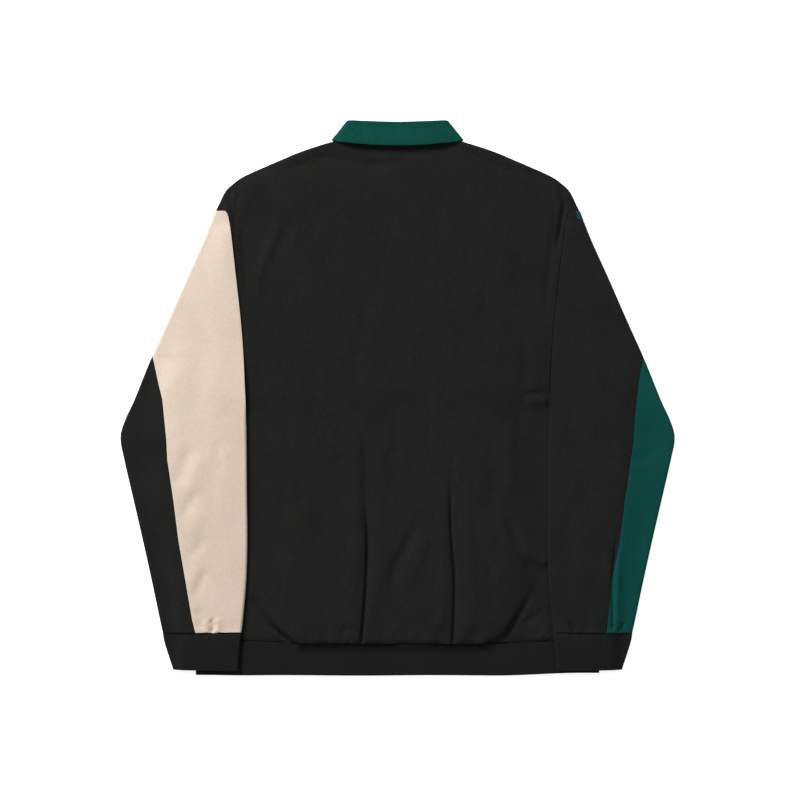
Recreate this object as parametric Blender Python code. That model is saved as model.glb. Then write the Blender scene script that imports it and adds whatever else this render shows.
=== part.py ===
"""Long-sleeved sweat polo laid flat on its front, back up, sleeves folded down beside the body.

Sizes are in millimetres and become metres when a mesh is made. +X is to the right of someone
looking down at the back, +Y towards the collar, +Z up from the surface it lies on.
Every piece is a cloth wall: a grid of outer points, the same grid moved in by the cloth's
thickness, and a rim. Seams keep SEAM_GAP between pieces.
"""
import math

import bmesh
import bpy
import numpy as np
from mathutils import Vector

# ---- driving sizes, mm ----
CLOTH = 1.6            # sweat jersey, brushed inside
SEAM_GAP = 0.35        # pieces stop this far from each other
NECK_HALF = 85.0       # neck point from the centre
NECK_Y = 333.0
BACK_NECK_Y = 329.5
FRONT_NECK_Y = 262.0   # lowest point of the front neckline
HEM_SEAM_Y = -316.5
HEM_EDGE_Y = -359.5
HEM_HALF = 262.0
BAND_TOP = 5.6         # height of the flat hem band
SHOULDER = (212.5, 280.0)
SHOULDER_END = (236.5, 243.0)   # top of the sleeve on the outline
UNDERARM = (277.0, -8.0)
FOLD_TOP = (197.0, 7.0)         # where the sleeve's inner fold leaves the back armhole
FRONT_INSET = 4.2      # the front panel stops inside the back panel's turned edge
BACK_REST = 4.1        # outer face of the back panel under the sleeves
FULL_HALF = 188.0      # half width of the fuller middle, between the sleeves
SLEEVE_STACK = 5.2     # both layers of a sleeve and the air between them
TURN_UNDER = 2.0       # flat stretch under the sleeve's inner fold, up to its seam
HELD_UP = 13.0         # how far past the body's edge a sleeve stays level
RAMP = 18.0            # and then how far it takes to settle on the surface
PLACKET_HALF = 16.0
PLACKET_FOOT_Y = 112.0
BUTTON_R = 5.5
BUTTON_DEEP = 1.1

# ---- edges of the panels, one row for each point: (x, y) of the right half ----
SIDE_EDGE = [(262.0, HEM_SEAM_Y + 0.4), (267.0, -240.0), (272.5, -150.0), (276.0, -60.0), UNDERARM]
BACK_ARMHOLE = [UNDERARM, (246.0, -9.0), (217.0, -4.0), FOLD_TOP, (199.5, 58.0), (203.2, 105.0),
                (209.3, 160.0), (215.0, 211.0), (219.0, 237.5)]
FRONT_ARMHOLE = [UNDERARM, (269.0, 25.0), (256.5, 75.0), (245.0, 130.0), (235.0, 190.0),
                 (230.0, 232.0)]
SHOULDER_EDGE = [SHOULDER_END, (232.5, 251.5), (223.5, 269.5), SHOULDER, (203.5, 286.5),
                 (188.5, 294.0), (152.0, 309.5), (119.6, 322.5), (NECK_HALF, NECK_Y)]
BACK_NECK = [(NECK_HALF, NECK_Y), (70.0, 332.1), (55.0, 331.2), (25.0, 330.0), (0.0, BACK_NECK_Y)]
FRONT_NECK = [(NECK_HALF, NECK_Y), (80.5, 314.5), (62.8, 287.8), (36.8, 268.0),
              (PLACKET_HALF + SEAM_GAP, 261.0)]

# ---- sleeve, right side: one row for each section from the armhole to the cuff ----
# outer fold x, y | inner end of the upper layer x, y | inner end of the lower layer x, y
SLEEVE = [
    (237.0, 242.2, 219.7, 237.0, 230.8, 231.0),
    (251.5, 206.0, 215.0, 205.0, 233.5, 204.0),
    (275.0, 154.0, 209.3, 157.0, 241.2, 154.0),
    (297.7, 102.0, 203.5, 107.0, 251.8, 102.0),
    (321.0, 50.0, 199.9, 57.0, 264.0, 50.0),
    (342.0, -2.0, 197.4, 6.0, 278.5, -3.0),
    (354.0, -28.0, 196.6, -20.0, 248.0, -13.0),
    (360.0, -51.0, 196.0, -43.0, 206.0, -14.0),
    (355.0, -80.0, 195.7, -75.0, 195.7, -70.0),
    (343.0, -132.0, 195.3, -130.0, 195.3, -130.0),
    (331.0, -184.0, 194.7, -184.0, 194.7, -184.0),
    (319.5, -236.0, 196.3, -238.0, 196.3, -238.0),
    (309.0, -286.0, 200.5, -286.0, 200.5, -286.0),
    (305.0, -304.0, 202.5, -303.0, 202.5, -303.0),
]
# where the panels meet on the upper face: y | x on the cream side | x on the green side
SLEEVE_SEAM = [(58.0, 319.5, 319.5), (50.0, 317.0, 318.2), (24.0, 311.4, 313.2),
               (-2.0, 304.9, 310.0), (-28.0, 302.3, 307.5), (-54.0, 299.7, 306.0),
               (-80.0, 298.4, 302.3), (-132.0, 290.6, 294.5), (-184.0, 284.0, 288.0),
               (-236.0, 275.0, 277.6), (-288.0, 266.0, 272.4), (-304.0, 262.0, 271.0)]
# cuff: outer fold x, y | inner fold x, y
CUFF = [(305.2, -304.6, 202.3, -303.6), (302.5, -318.0, 203.8, -318.5), (291.5, -352.0, 206.5, -353.5)]

# ---- folds of the back panel: name, depth, half width, and the points they run through ----
BACK_FOLDS = [
    ("left of centre", 3.4, 6.5, [(-42.0, -60.0), (-42.0, -112.0), (-40.0, -188.0), (-42.0, -254.0),
                                  (-46.5, -312.0)]),
    ("right of centre", 2.6, 6.0, [(68.0, -68.0), (69.0, -118.0), (72.0, -200.0), (75.0, -250.0),
                                   (72.0, -312.0)]),
    ("slanting", 1.8, 9.0, [(30.0, -141.0), (14.0, -188.0), (-3.0, -218.0), (-8.0, -254.0)]),
    ("towards the right sleeve", 1.8, 9.0, [(143.0, -158.0), (159.0, -197.0), (180.0, -220.0),
                                            (190.0, -222.0)]),
    ("under the collar", 1.2, 7.0, [(-125.0, 312.0), (-72.0, 309.0), (-42.0, 303.0), (-6.0, 303.0),
                                    (24.0, 309.0)]),
    ("left shoulder", 1.6, 4.0, [(-214.0, 275.0), (-219.0, 262.0), (-217.0, 246.0), (-213.0, 236.0)]),
    ("right shoulder", 1.6, 4.0, [(211.0, 277.0), (216.0, 264.0), (217.5, 252.0), (216.5, 238.0)]),
]
# lower edge of the full part that bags over the hem band, from left to right: x | y
BLOUSE_EDGE = [(-240.0, -236.0), (-197.0, -258.0), (-190.0, -264.0), (-179.0, -278.0), (-160.0, -300.0),
               (-140.0, -314.0), (-110.0, -328.0), (0.0, -336.0), (100.0, -330.0), (134.0, -313.0),
               (150.0, -291.0), (162.0, -269.0), (177.0, -249.0), (188.0, -238.0), (240.0, -226.0)]
BLOUSE_RISE = 5.0
BLOUSE_STEP = 20.0     # how far it takes to rise over that edge
MIDDLE_RISE = 4.1      # how much fuller the middle of the back is
MIDDLE_RAMP = 75.0

# ---- collar: one row for each section of the right half, centre back to centre front ----
# seam x, y | roll line x, y | edge of the fall x, y | turn, degrees:
# 0 where the fall lies on top of the stand, 90 at the side, 180 where it lies below
COLLAR = [
    (0.0, 329.9, 0.0, 359.2, 0.0, 327.9, 0.0),
    (28.0, 330.6, 28.0, 359.8, 28.5, 328.6, 0.0),
    (54.0, 331.9, 48.0, 360.6, 56.0, 330.8, 0.0),
    (72.0, 334.2, 59.5, 361.0, 76.5, 333.0, 15.0),
    (78.6, 336.4, 63.6, 359.8, 83.6, 334.9, 90.0),
    (76.4, 330.5, 60.0, 354.0, 82.4, 329.4, 165.0),
    (75.4, 314.8, 52.0, 340.0, 88.0, 306.0, 180.0),
    (58.6, 289.6, 37.0, 317.0, 85.0, 271.0, 180.0),
    (35.0, 270.9, 19.0, 300.0, 72.0, 243.0, 180.0),
    (9.0, 264.9, 6.0, 292.0, 52.0, 222.0, 180.0),
]
COLLAR_CLOTH = 1.6
COLLAR_HALF = 2.3      # half its folded thickness at the roll line
COLLAR_HEIGHTS = (7.85, 2.3)   # of its middle at the back and at the front
FALL_LIFT = 2.0        # how far the front panel rises to lie on the fall
FALL_LOW_Y = 215.0     # where it is down on the surface again, below the collar's points
LIFT_LEVEL = 26.0      # it stays up this far past the fall's edge
LIFT_RAMP = 30.0

# ---- materials: base colour, roughness ----
BLACK = ((0.016, 0.016, 0.016), 0.9)
CREAM = ((0.70, 0.57, 0.45), 0.92)
GREEN = ((0.005, 0.052, 0.045), 0.9)
COLLAR_GREEN = ((0.007, 0.075, 0.060), 0.9)
BUTTON = ((0.02, 0.02, 0.02), 0.35)


def clear_scene():
    for thing in list(bpy.data.objects):
        bpy.data.objects.remove(thing, do_unlink=True)


def material(name, look):
    colour, roughness = look
    made = bpy.data.materials.new(name)
    made.use_nodes = True
    shader = made.node_tree.nodes["Principled BSDF"]
    shader.inputs["Base Color"].default_value = (*colour, 1.0)
    shader.inputs["Roughness"].default_value = roughness
    shader.inputs["Metallic"].default_value = 0.0
    return made


def smooth_path(points, count):
    """A smooth line through the points, read at count places an even distance apart."""
    pts = np.array(points, float)
    ends = np.vstack([2 * pts[0] - pts[1], pts, 2 * pts[-1] - pts[-2]])
    dense = []
    for k in range(1, len(ends) - 2):
        p0, p1, p2, p3 = ends[k - 1:k + 3]
        for t in np.linspace(0, 1, 16, endpoint=False):
            m1, m2 = (p2 - p0) * 0.5, (p3 - p1) * 0.5
            dense.append((2 * t**3 - 3 * t**2 + 1) * p1 + (t**3 - 2 * t**2 + t) * m1
                         + (-2 * t**3 + 3 * t**2) * p2 + (t**3 - t**2) * m2)
    dense.append(pts[-1])
    return spread(np.array(dense), count)


def spread(line, count, bend_weight=0.0):
    """Points along a line at even steps of length, closer together where it bends."""
    step = np.diff(line, axis=0)
    length = np.linalg.norm(step, axis=1)
    heading = step / np.maximum(length, 1e-9)[:, None]
    turn = np.zeros(len(length))
    turn[1:] = np.arccos(np.clip((heading[1:] * heading[:-1]).sum(1), -1, 1))
    run = np.concatenate([[0.0], np.cumsum(length + bend_weight * turn)])
    want = np.linspace(0, run[-1], count)
    return np.stack([np.interp(want, run, line[:, k]) for k in range(line.shape[1])], axis=1)


def ease(x):
    x = np.clip(x, 0.0, 1.0)
    return x * x * (3 - 2 * x)


def side_x(y):
    """Half width of the body below the underarm; below the hem seam, of the band."""
    edge = np.array(SIDE_EDGE)
    return np.interp(y, edge[:, 1], edge[:, 0])


def underarm_y(x):
    """Height of the back armhole's lower run, from the underarm to the sleeve's inner fold."""
    run = np.array(BACK_ARMHOLE[:4])[::-1]
    return np.interp(abs(x), run[:, 0], run[:, 1])


def away_from(x, y, path):
    """Distance to a line of points, and how far along it, from 0 to 1."""
    best, where = 1e9, 0.0
    for k in range(len(path) - 1):
        a, b = np.array(path[k]), np.array(path[k + 1])
        t = np.clip(np.dot((x, y) - a, b - a) / np.dot(b - a, b - a), 0, 1)
        d = math.hypot(*((x, y) - (a + t * (b - a))))
        if d < best:
            best, where = d, (k + t) / (len(path) - 1)
    return best, where


def back_height(x, y):
    """Outer face of the back panel: flat under the sleeves, fuller in the middle and over the hem."""
    middle = ease((FULL_HALF - abs(x)) / MIDDLE_RAMP)
    z = BACK_REST + MIDDLE_RISE * middle
    edge = np.array(BLOUSE_EDGE)
    bags = ease((y - np.interp(x, edge[:, 0], edge[:, 1])) / BLOUSE_STEP)
    low_part = ease((-110.0 - y) / 150.0)
    z += BLOUSE_RISE * low_part * bags * ease((FULL_HALF - abs(x)) / 12.0)
    z -= 1.2 * low_part * (1 - bags) * middle
    z -= (z - 4.0 - CLOTH * 0.5) * ease((HEM_SEAM_Y + 14.0 - y) / 14.0) * 0.6
    for name, depth, half, path in BACK_FOLDS:
        d, along = away_from(x, y, path)
        fade = ease(along / 0.35) if path[-1][1] < HEM_SEAM_Y + 30 else math.sin(math.pi * along) ** 0.5
        z -= depth * fade * math.exp(-(d / half) ** 2)
    return max(z, BACK_REST)


def ground(x, y):
    """What a sleeve or cuff lies on: the body's edge or the band where they are below it, else 0."""
    if y > HEM_SEAM_Y:
        out = max(abs(x) - side_x(y), y - underarm_y(x) - 2.0)
        top = BACK_REST + SEAM_GAP
    else:
        out = abs(x) - HEM_HALF
        top = BAND_TOP + SEAM_GAP
    blend = ease((HEM_SEAM_Y + 22.0 - y) / 22.0)
    top = max(top, (BACK_REST * (1 - blend) + BAND_TOP * blend) + SEAM_GAP)
    return top * ease(1.0 - (out - HELD_UP) / RAMP)


def wall(name, grids, thickness, look, ring=False, facing=None):
    """Close grids of outer points into a cloth wall: rows and columns turn left-handed seen from
    outside. Grids that share points are joined there. facing gives one grid's own normals."""
    bm = bmesh.new()
    for grid in grids:
        rows, cols = grid.shape[:2]
        verts = [[bm.verts.new(point * 0.001) for point in row] for row in grid]
        for r in range(rows - 1):
            for c in range(cols if ring else cols - 1):
                d = (c + 1) % cols
                bm.faces.new([verts[r][c], verts[r][d], verts[r + 1][d], verts[r + 1][c]])
    bmesh.ops.remove_doubles(bm, verts=bm.verts, dist=1e-6)
    bm.normal_update()
    outer = list(bm.faces)
    rim = [edge for edge in bm.edges if edge.is_boundary]
    normals = [v.normal.copy() for v in bm.verts] if facing is None else facing.reshape(-1, 3)
    under = {v: bm.verts.new(v.co - Vector(normal) * thickness * 0.001)
             for v, normal in zip(list(bm.verts), normals)}
    for face in outer:
        bm.faces.new([under[v] for v in reversed(face.verts)])
    for edge in rim:
        a, b = edge.verts
        if edge.link_loops[0].vert is a:
            a, b = b, a
        bm.faces.new([a, b, under[b], under[a]])
    bmesh.ops.recalc_face_normals(bm, faces=bm.faces)
    return finish(name, bm, look)


def finish(name, bm, look):
    mesh = bpy.data.meshes.new(name)
    bm.to_mesh(mesh)
    bm.free()
    mesh.shade_smooth()
    mesh.set_sharp_from_angle(angle=math.radians(50))
    mesh.materials.append(look)
    piece = bpy.data.objects.new(name, mesh)
    bpy.context.collection.objects.link(piece)
    return piece


def joined_path(pieces, count):
    """Several smooth lines end to end, with the corners between them kept."""
    lines = [smooth_path(piece, 60) for piece in pieces]
    return spread(np.vstack([lines[0]] + [line[1:] for line in lines[1:]]), count)


def moved_in(path, amount):
    """The path moved to its left by an amount, which is inwards on an edge run from hem to neck."""
    line = np.array(path, float)
    run = np.gradient(line, axis=0)
    run /= np.linalg.norm(run, axis=1)[:, None]
    return line + amount * np.stack([-run[:, 1], run[:, 0]], axis=1)


def read_at(path, steps):
    """Points of a path at the given shares of its length."""
    line = spread(np.array(path, float), 500)
    return np.stack([np.interp(steps, np.linspace(0, 1, 500), line[:, k]) for k in (0, 1)], axis=1)


def patch(side, top, centre, steps_up, steps_out, level_until):
    """Plan of half a panel, as rows from hem to neck. Rows run straight from the centre to the
    side up to the step level_until, then take on the shape of the top edge."""
    u = steps_out[None, :, None]
    share = np.clip((steps_up - level_until) / (1 - level_until), 0, 1)[:, None, None]
    side, top = read_at(side, steps_up), read_at(top, steps_out)
    straight = (1 - u) * centre[:, None] + u * side[:, None]
    return straight + share * (top - straight[-1])


def whole_panel(half, height):
    """Both halves of a panel as one grid, left edge first, with heights."""
    plan = np.concatenate([half[:, :0:-1] * (-1, 1), half], axis=1)
    z = np.array([[height(x, y) for x, y in row] for row in plan])
    return np.dstack([plan, z])


def turned_edge(x, y, edge, radius=3.2):
    """How far an outer face drops where the panel turns down over its edge."""
    d, _ = away_from(abs(x), y, edge)
    inside = radius - min(d, radius)
    return radius - math.sqrt(radius * radius - inside * inside)


def body_back(look):
    shoulder = joined_path([SHOULDER_EDGE[:4], SHOULDER_EDGE[3:]], 80)
    side_edge = [tuple(p) for p in smooth_path(SIDE_EDGE, 30)]
    turned = [tuple(p) for p in shoulder if p[0] > 96.0]
    armhole = joined_path([BACK_ARMHOLE[:4], BACK_ARMHOLE[3:]], 60)
    side = np.vstack([smooth_path(SIDE_EDGE, 60), armhole[1:], [SHOULDER_END]])
    top = np.vstack([shoulder[:-1], smooth_path(BACK_NECK, 40)])[::-1]
    near_edge = [1 - 9.0 / 270, 1 - 3.6 / 270, 1 - 1.2 / 270, 1.0]
    steps_out = np.array(list(np.linspace(0, 0.36, 12)) + [0.45, 0.57, 0.70, 0.84, 0.91]
                         + near_edge)
    run = np.concatenate([[0], np.cumsum(np.linalg.norm(np.diff(side, axis=0), axis=1))])
    run /= run[-1]
    low, high = run[59], run[np.argmin(np.linalg.norm(side - FOLD_TOP, axis=1))]
    shoulder_foot = run[-2]
    steps_up = np.concatenate([[0, 0.008, 0.018, 0.032], np.linspace(0.055, low, 11),
                               np.linspace(low, high, 5)[1:],
                               np.linspace(high, shoulder_foot, 8)[1:],
                               np.interp([0.45, 0.8, 0.93, 1.0], [0, 1], [shoulder_foot, 1])])
    centre_y = np.interp(steps_up, [0, low, high, 1], [side[0][1], -34.0, 34.0, BACK_NECK_Y])
    centre = np.stack([centre_y * 0, centre_y], axis=1)
    half = patch(side, top, centre, steps_up, steps_out, high)

    def height(x, y):
        z = back_height(x, y)
        drop = 0.0
        if abs(x) > 150.0 and y < UNDERARM[1]:
            drop = turned_edge(x, y, side_edge) * ease((UNDERARM[1] - 4.0 - y) / 26.0)
        elif abs(x) > 96.0 and y > 240.0:
            drop = turned_edge(x, y, turned) * ease((abs(x) - 96.0) / 16.0)
        return z - drop

    return wall("body_back", [whole_panel(half, height)], CLOTH, look)


def front_lift(x, y):
    """The front panel lies on the surface, and on the collar's fall by the neck."""
    edge = np.array([(row[4], row[5]) for row in COLLAR[:4:-1]])
    beyond = max(abs(x) - np.interp(y, edge[:, 1], edge[:, 0]), FALL_LOW_Y - y)
    return FALL_LIFT * ease(1 - (beyond - LIFT_LEVEL) / LIFT_RAMP)


def body_front(look):
    shoulder = joined_path([SHOULDER_EDGE[:4], SHOULDER_EDGE[3:]], 80)
    armhole = joined_path([FRONT_ARMHOLE, [FRONT_ARMHOLE[-1], SHOULDER_END]], 60)
    side = moved_in(np.vstack([smooth_path(SIDE_EDGE, 60), armhole[1:]]), FRONT_INSET)
    side[0] = (HEM_HALF - FRONT_INSET, HEM_SEAM_Y + 0.4)
    shoulder = moved_in(shoulder, FRONT_INSET)
    shoulder[0] = side[-1]
    neck = smooth_path(FRONT_NECK, 40)
    neck[0] = shoulder[-1]
    top = np.vstack([shoulder[:-1], neck])[::-1]
    slit_x = FRONT_NECK[-1][0]
    run = np.concatenate([[0], np.cumsum(np.linalg.norm(np.diff(side, axis=0), axis=1))])
    low = run[59] / run[-1]
    slit = low + (1 - low) * 0.4
    steps_up = np.concatenate([np.linspace(0, low, 8), np.linspace(low, slit, 4)[1:],
                               np.linspace(slit, 1, 8)[1:]])
    slit_foot = PLACKET_FOOT_Y - SEAM_GAP
    centre_y = np.interp(steps_up, [0, low, slit, 1], [side[0][1], -10.0, slit_foot, FRONT_NECK[-1][1]])
    centre = np.stack([np.where(steps_up >= slit - 1e-6, slit_x, 0.0), centre_y], axis=1)
    centre[np.argmin(abs(steps_up - slit)) - 1, 1] = slit_foot - 8.0
    steps_out = np.array([0, 0.12, 0.24, 0.36, 0.45, 0.57, 0.70, 0.84, 0.91, 0.965, 1.0])
    half = patch(side, top, centre, steps_up, steps_out, slit)
    z = np.array([[front_lift(x, y) for x, y in row] for row in half])
    right = np.dstack([half, z])[:, ::-1]
    left = np.dstack([half, z]) * (-1, 1, 1)
    return wall("body_front", [right, left], CLOTH, look)


def sleeve_section(outer, inner, low, closed, puff):
    """Outer face of a flattened sleeve: from its inner fold over the top to the outer fold, then
    back along underneath. closed goes from 0, where the inner edge is sewn in, to 1, a fold."""
    outer, inner, low = (np.array(p, float) for p in (outer, inner, low))
    width = np.linalg.norm(outer - inner)
    out = (outer - inner) / width
    radius = SLEEVE_STACK / 2
    points = []
    lift_in = ground(*inner)
    shut = ease((closed - 0.75) / 0.25)
    if shut > 0:
        plan = inner + out * (radius + TURN_UNDER * shut)
        points.append((*plan, lift_in + radius - radius * math.sin(math.pi * (closed - 0.5))))
    begun = math.radians(90 - 180 * closed)
    shift = radius * (1 - math.cos(max(begun, 0.0)))
    for a in np.linspace(begun, math.pi / 2, 9)[:-1] if closed > 0 else []:
        plan = inner + out * (radius * (1 - math.cos(a)) - shift)
        points.append((*plan, lift_in + radius + radius * math.sin(a)))
    for run in np.linspace(radius - shift, width - radius, 40):
        plan = inner + out * run
        full = puff * math.sin(math.pi * np.clip(run / width, 0, 1)) ** 0.8
        points.append((*plan, ground(*plan) + SLEEVE_STACK + full))
    base = ground(*outer)
    for angle in np.linspace(90, -90, 17)[1:]:
        a = math.radians(angle)
        plan = outer - out * radius * (1 - math.cos(a))
        points.append((*plan, base + radius + radius * math.sin(a)))
    fold = len(points) - 9
    turn_in = outer - out * radius
    end = low * (1 - shut) + (inner + out * (radius + TURN_UNDER + SEAM_GAP)) * shut
    for t in np.linspace(0, 1, 40)[1:]:
        plan = turn_in + (end - turn_in) * t
        points.append((*plan, ground(*plan)))
    return np.array(points), fold


def sleeve_sections():
    """The sleeve's sections, smoothly between the rows of SLEEVE, closer where its seam turns in."""
    table = np.array(SLEEVE, float)
    steps = np.concatenate([np.linspace(0, 3.6, 6), [3.85, 4.0, 4.15, 4.4],
                            np.linspace(4.8, len(table) - 1, 14)])
    dense = np.column_stack([smooth_column(table[:, k], steps) for k in range(6)])
    armhole = joined_path([BACK_ARMHOLE[3:]], 60)
    sewn = dense[:, 3] > FOLD_TOP[1] - 4.0
    beside = np.interp(dense[:, 3], armhole[:, 1], armhole[:, 0]) + SEAM_GAP + 0.2
    dense[sewn, 2] = np.maximum(dense[sewn, 2], beside[sewn])
    closed = np.interp(steps, [0, 5, 8, len(table) - 1], [0, 0, 1, 1])
    puff = np.interp(steps, [0, 2, 7, 12, 13], [0.2, 1.2, 2.2, 2.2, 1.2])
    return dense, closed, puff


def smooth_column(values, steps):
    """A column of a table read between its rows on a smooth curve."""
    ends = np.concatenate([[2 * values[0] - values[1]], values, [2 * values[-1] - values[-2]]])
    row = np.minimum(np.floor(steps).astype(int), len(values) - 2)
    t = steps - row
    p0, p1, p2, p3 = (ends[row + k] for k in range(4))
    return 0.5 * (2 * p1 + (p2 - p0) * t + (2 * p0 - 5 * p1 + 4 * p2 - p3) * t**2
                  + (3 * p1 - p0 - 3 * p2 + p3) * t**3)


def sleeve(side, back_look, front_look):
    """Back and front panel of one sleeve; side is -1 for the cream sleeve and 1 for the other."""
    seam_rows = np.array(SLEEVE_SEAM)[::-1]
    seam_x = seam_rows[:, 1 if side < 0 else 2]
    back, front = [], []
    dense, closed, puff = sleeve_sections()
    for row, shut, full in zip(dense, closed, puff):
        line, fold = sleeve_section(row[0:2], row[2:4], row[4:6], shut, full)
        run = np.concatenate([[0], np.cumsum(np.linalg.norm(np.diff(line, axis=0), axis=1))])
        over = line[:fold + 1]
        past = over[:, 0] - np.interp(over[:, 1], seam_rows[:, 0], seam_x)
        beyond = np.nonzero((past > 0) & (over[:, 2] > over[-1, 2]))[0]
        at = run[fold]
        if len(beyond) and row[1] < SLEEVE_SEAM[0][0]:
            k = beyond[0]
            at = np.interp(0.0, past[k - 1:k + 1], run[k - 1:k + 1])
        turning_in = math.exp(-((row[1] - SLEEVE_SEAM[0][0]) / 12.0) ** 2)
        half_gap = SEAM_GAP * (0.7 + 1.7 * turning_in)
        for panel, low, high, cols in ((back, 0, at - half_gap, 13),
                                       (front, at + half_gap, run[-1], 17)):
            reach = np.linspace(low, high, 300)
            dense_line = np.stack([np.interp(reach, run, line[:, k]) for k in range(3)], axis=1)
            panel.append(spread(dense_line, cols, bend_weight=26.0))
    name = "left" if side < 0 else "right"
    back, front = np.array(back), np.array(front)
    facing = grid_normals(np.concatenate([back, front], axis=1))
    seam = back.shape[1]
    shared = facing[:, seam - 1] + facing[:, seam]
    facing[:, seam - 1] = facing[:, seam] = shared / np.linalg.norm(shared, axis=1)[:, None]
    mirror = np.array([side, 1, 1])
    for label, panel, out, look in (("back", back, facing[:, :seam], back_look),
                                    ("front", front, facing[:, seam:], front_look)):
        panel, out = panel * mirror, out * mirror
        if side > 0:
            panel, out = panel[:, ::-1], out[:, ::-1]
        wall(f"sleeve_{name}_{label}", [panel], CLOTH, look, facing=out)


def grid_normals(grid):
    """Outward normals of a sleeve's grid, whose rows run down and columns out."""
    steps = [np.linalg.norm(np.diff(grid, axis=k), axis=2).mean() for k in (0, 1)]
    across = np.cross(np.gradient(grid, steps[1], axis=1), np.gradient(grid, steps[0], axis=0))
    return -across / np.linalg.norm(across, axis=2)[:, :, None]


def closed_section(outer, inner, base, tall, count):
    """Outer face all round a flat tube from its inner fold over the top and back underneath."""
    outer, inner = np.array(outer, float), np.array(inner, float)
    width = np.linalg.norm(outer - inner)
    out = (outer - inner) / width
    radius = tall / 2
    points = []
    for turn in np.linspace(0, math.pi, 10):
        points.append((radius - radius * math.sin(turn), radius - radius * math.cos(turn)))
    for run in np.linspace(radius, width - radius, 60)[1:]:
        points.append((run, tall))
    for turn in np.linspace(0, math.pi, 10)[1:]:
        points.append((width - radius + radius * math.sin(turn), radius + radius * math.cos(turn)))
    for run in np.linspace(width - radius, radius, 60)[1:]:
        points.append((run, 0.0))
    line = np.array([(*(inner + out * run), base(*(inner + out * run)) + z) for run, z in points])
    return spread(line, count + 1, bend_weight=9.0)[:-1]


def cuff(side, look):
    rows = smooth_path([row[:2] for row in CUFF], 4), smooth_path([row[2:] for row in CUFF], 4)
    grid = np.array([closed_section(o, i, ground, SLEEVE_STACK, 36) for o, i in zip(*rows)])
    grid *= (side, 1, 1)
    name = "cuff_left" if side < 0 else "cuff_right"
    return wall(name, [grid if side < 0 else grid[:, ::-1]], CLOTH, look, ring=True)


def hem_band(look):
    grid = []
    for y in np.linspace(HEM_SEAM_Y, HEM_EDGE_Y, 4):
        crown = BAND_TOP - 0.5 * abs(y - (HEM_SEAM_Y + HEM_EDGE_Y) / 2) / 21.5
        grid.append(closed_section((HEM_HALF, y), (-HEM_HALF, y), lambda x, y: 0.0, crown, 56))
    return wall("hem_band", [np.array(grid)[:, ::-1]], CLOTH, look, ring=True)


def collar(look):
    """Stand and fall in one strip, folded at the roll line, from one front edge to the other."""
    table = np.array(COLLAR, float)
    table = np.vstack([table[:0:-1] * (-1, 1, -1, 1, -1, 1, 1), table])
    parts = [2, 2, 2, 2, 4, 4, 1, 1, 1]
    parts = parts[::-1] + parts
    steps = np.concatenate([[0]] + [k + np.arange(1, n + 1) / n for k, n in enumerate(parts)])
    rows = np.column_stack([smooth_column(table[:, k], steps) for k in range(7)])
    level_z, swing = sum(COLLAR_HEIGHTS) / 2, (COLLAR_HEIGHTS[0] - COLLAR_HEIGHTS[1]) / 2
    outer, inner = [], []
    for row, step in zip(rows, steps):
        turn = math.radians(np.clip(row[6], 0, 180))
        height = level_z + swing * math.cos(turn)
        seam, roll, fall = (np.append(row[k:k + 2], height) for k in (0, 2, 4))
        up = (roll - seam) / np.linalg.norm(roll - seam)
        outward = 1 if step >= (len(table) - 1) / 2 else -1
        level = outward * np.array([up[1], -up[0], 0.0])
        facing = math.cos(turn) * np.array([0, 0, 1.0]) + math.sin(turn) * level
        bent_about = roll - up * COLLAR_HALF
        for side, half in ((outer, COLLAR_HALF), (inner, COLLAR_HALF - COLLAR_CLOTH)):
            fold = []
            for bend in (-90, -60, -30, 0, 30, 60, 90):
                a = math.radians(bend)
                fold.append(bent_about + half * (math.cos(a) * up + math.sin(a) * facing))
            stand = np.linspace(seam - facing * half, fold[0], 4)[:-1]
            drop = np.linspace(fold[-1], fall + facing * half, 5)
            side.append(np.vstack([stand, fold[:-1], drop]))
    outer, inner = np.array(outer), np.array(inner)
    return wall("collar", [outer], COLLAR_CLOTH, look, facing=(outer - inner) / COLLAR_CLOTH)


def block(name, low, high, look, bevel=0.5):
    """A flat strip with softened edges."""
    bpy.ops.mesh.primitive_cube_add(size=0.001, location=[(a + b) / 2000 for a, b in zip(low, high)])
    strip = bpy.context.object
    strip.name = strip.data.name = name
    strip.scale = [b - a for a, b in zip(low, high)]
    bpy.ops.object.transform_apply(location=False, rotation=False, scale=True)
    edge = strip.modifiers.new("soft edges", "BEVEL")
    edge.width = bevel * 0.001
    edge.segments = 2
    strip.data.materials.append(look)
    return strip


def placket(look, button_look):
    """Two strips down the front opening, and three buttons on the one that faces the surface."""
    top = FRONT_NECK_Y - 1.0
    block("placket_outer", (-PLACKET_HALF, PLACKET_FOOT_Y, 1.5), (PLACKET_HALF, top, 3.1), look)
    block("placket_under", (-PLACKET_HALF, PLACKET_FOOT_Y + 3.0, 3.4), (PLACKET_HALF, top, 5.0), look)
    for k, y in enumerate(np.linspace(PLACKET_FOOT_Y + 28.0, top - 14.0, 3)):
        bpy.ops.mesh.primitive_cylinder_add(vertices=18, radius=BUTTON_R * 0.001,
                                            depth=BUTTON_DEEP * 0.001,
                                            location=(0, y * 0.001, BUTTON_DEEP * 0.00053))
        button = bpy.context.object
        button.name = button.data.name = f"button_{k + 1}"
        rim = button.modifiers.new("rounded rim", "BEVEL")
        rim.width = 0.0003
        rim.segments = 1
        rim.limit_method = "ANGLE"
        button.data.materials.append(button_look)
        button.data.shade_smooth()
        button.data.set_sharp_from_angle(angle=math.radians(40))


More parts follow.
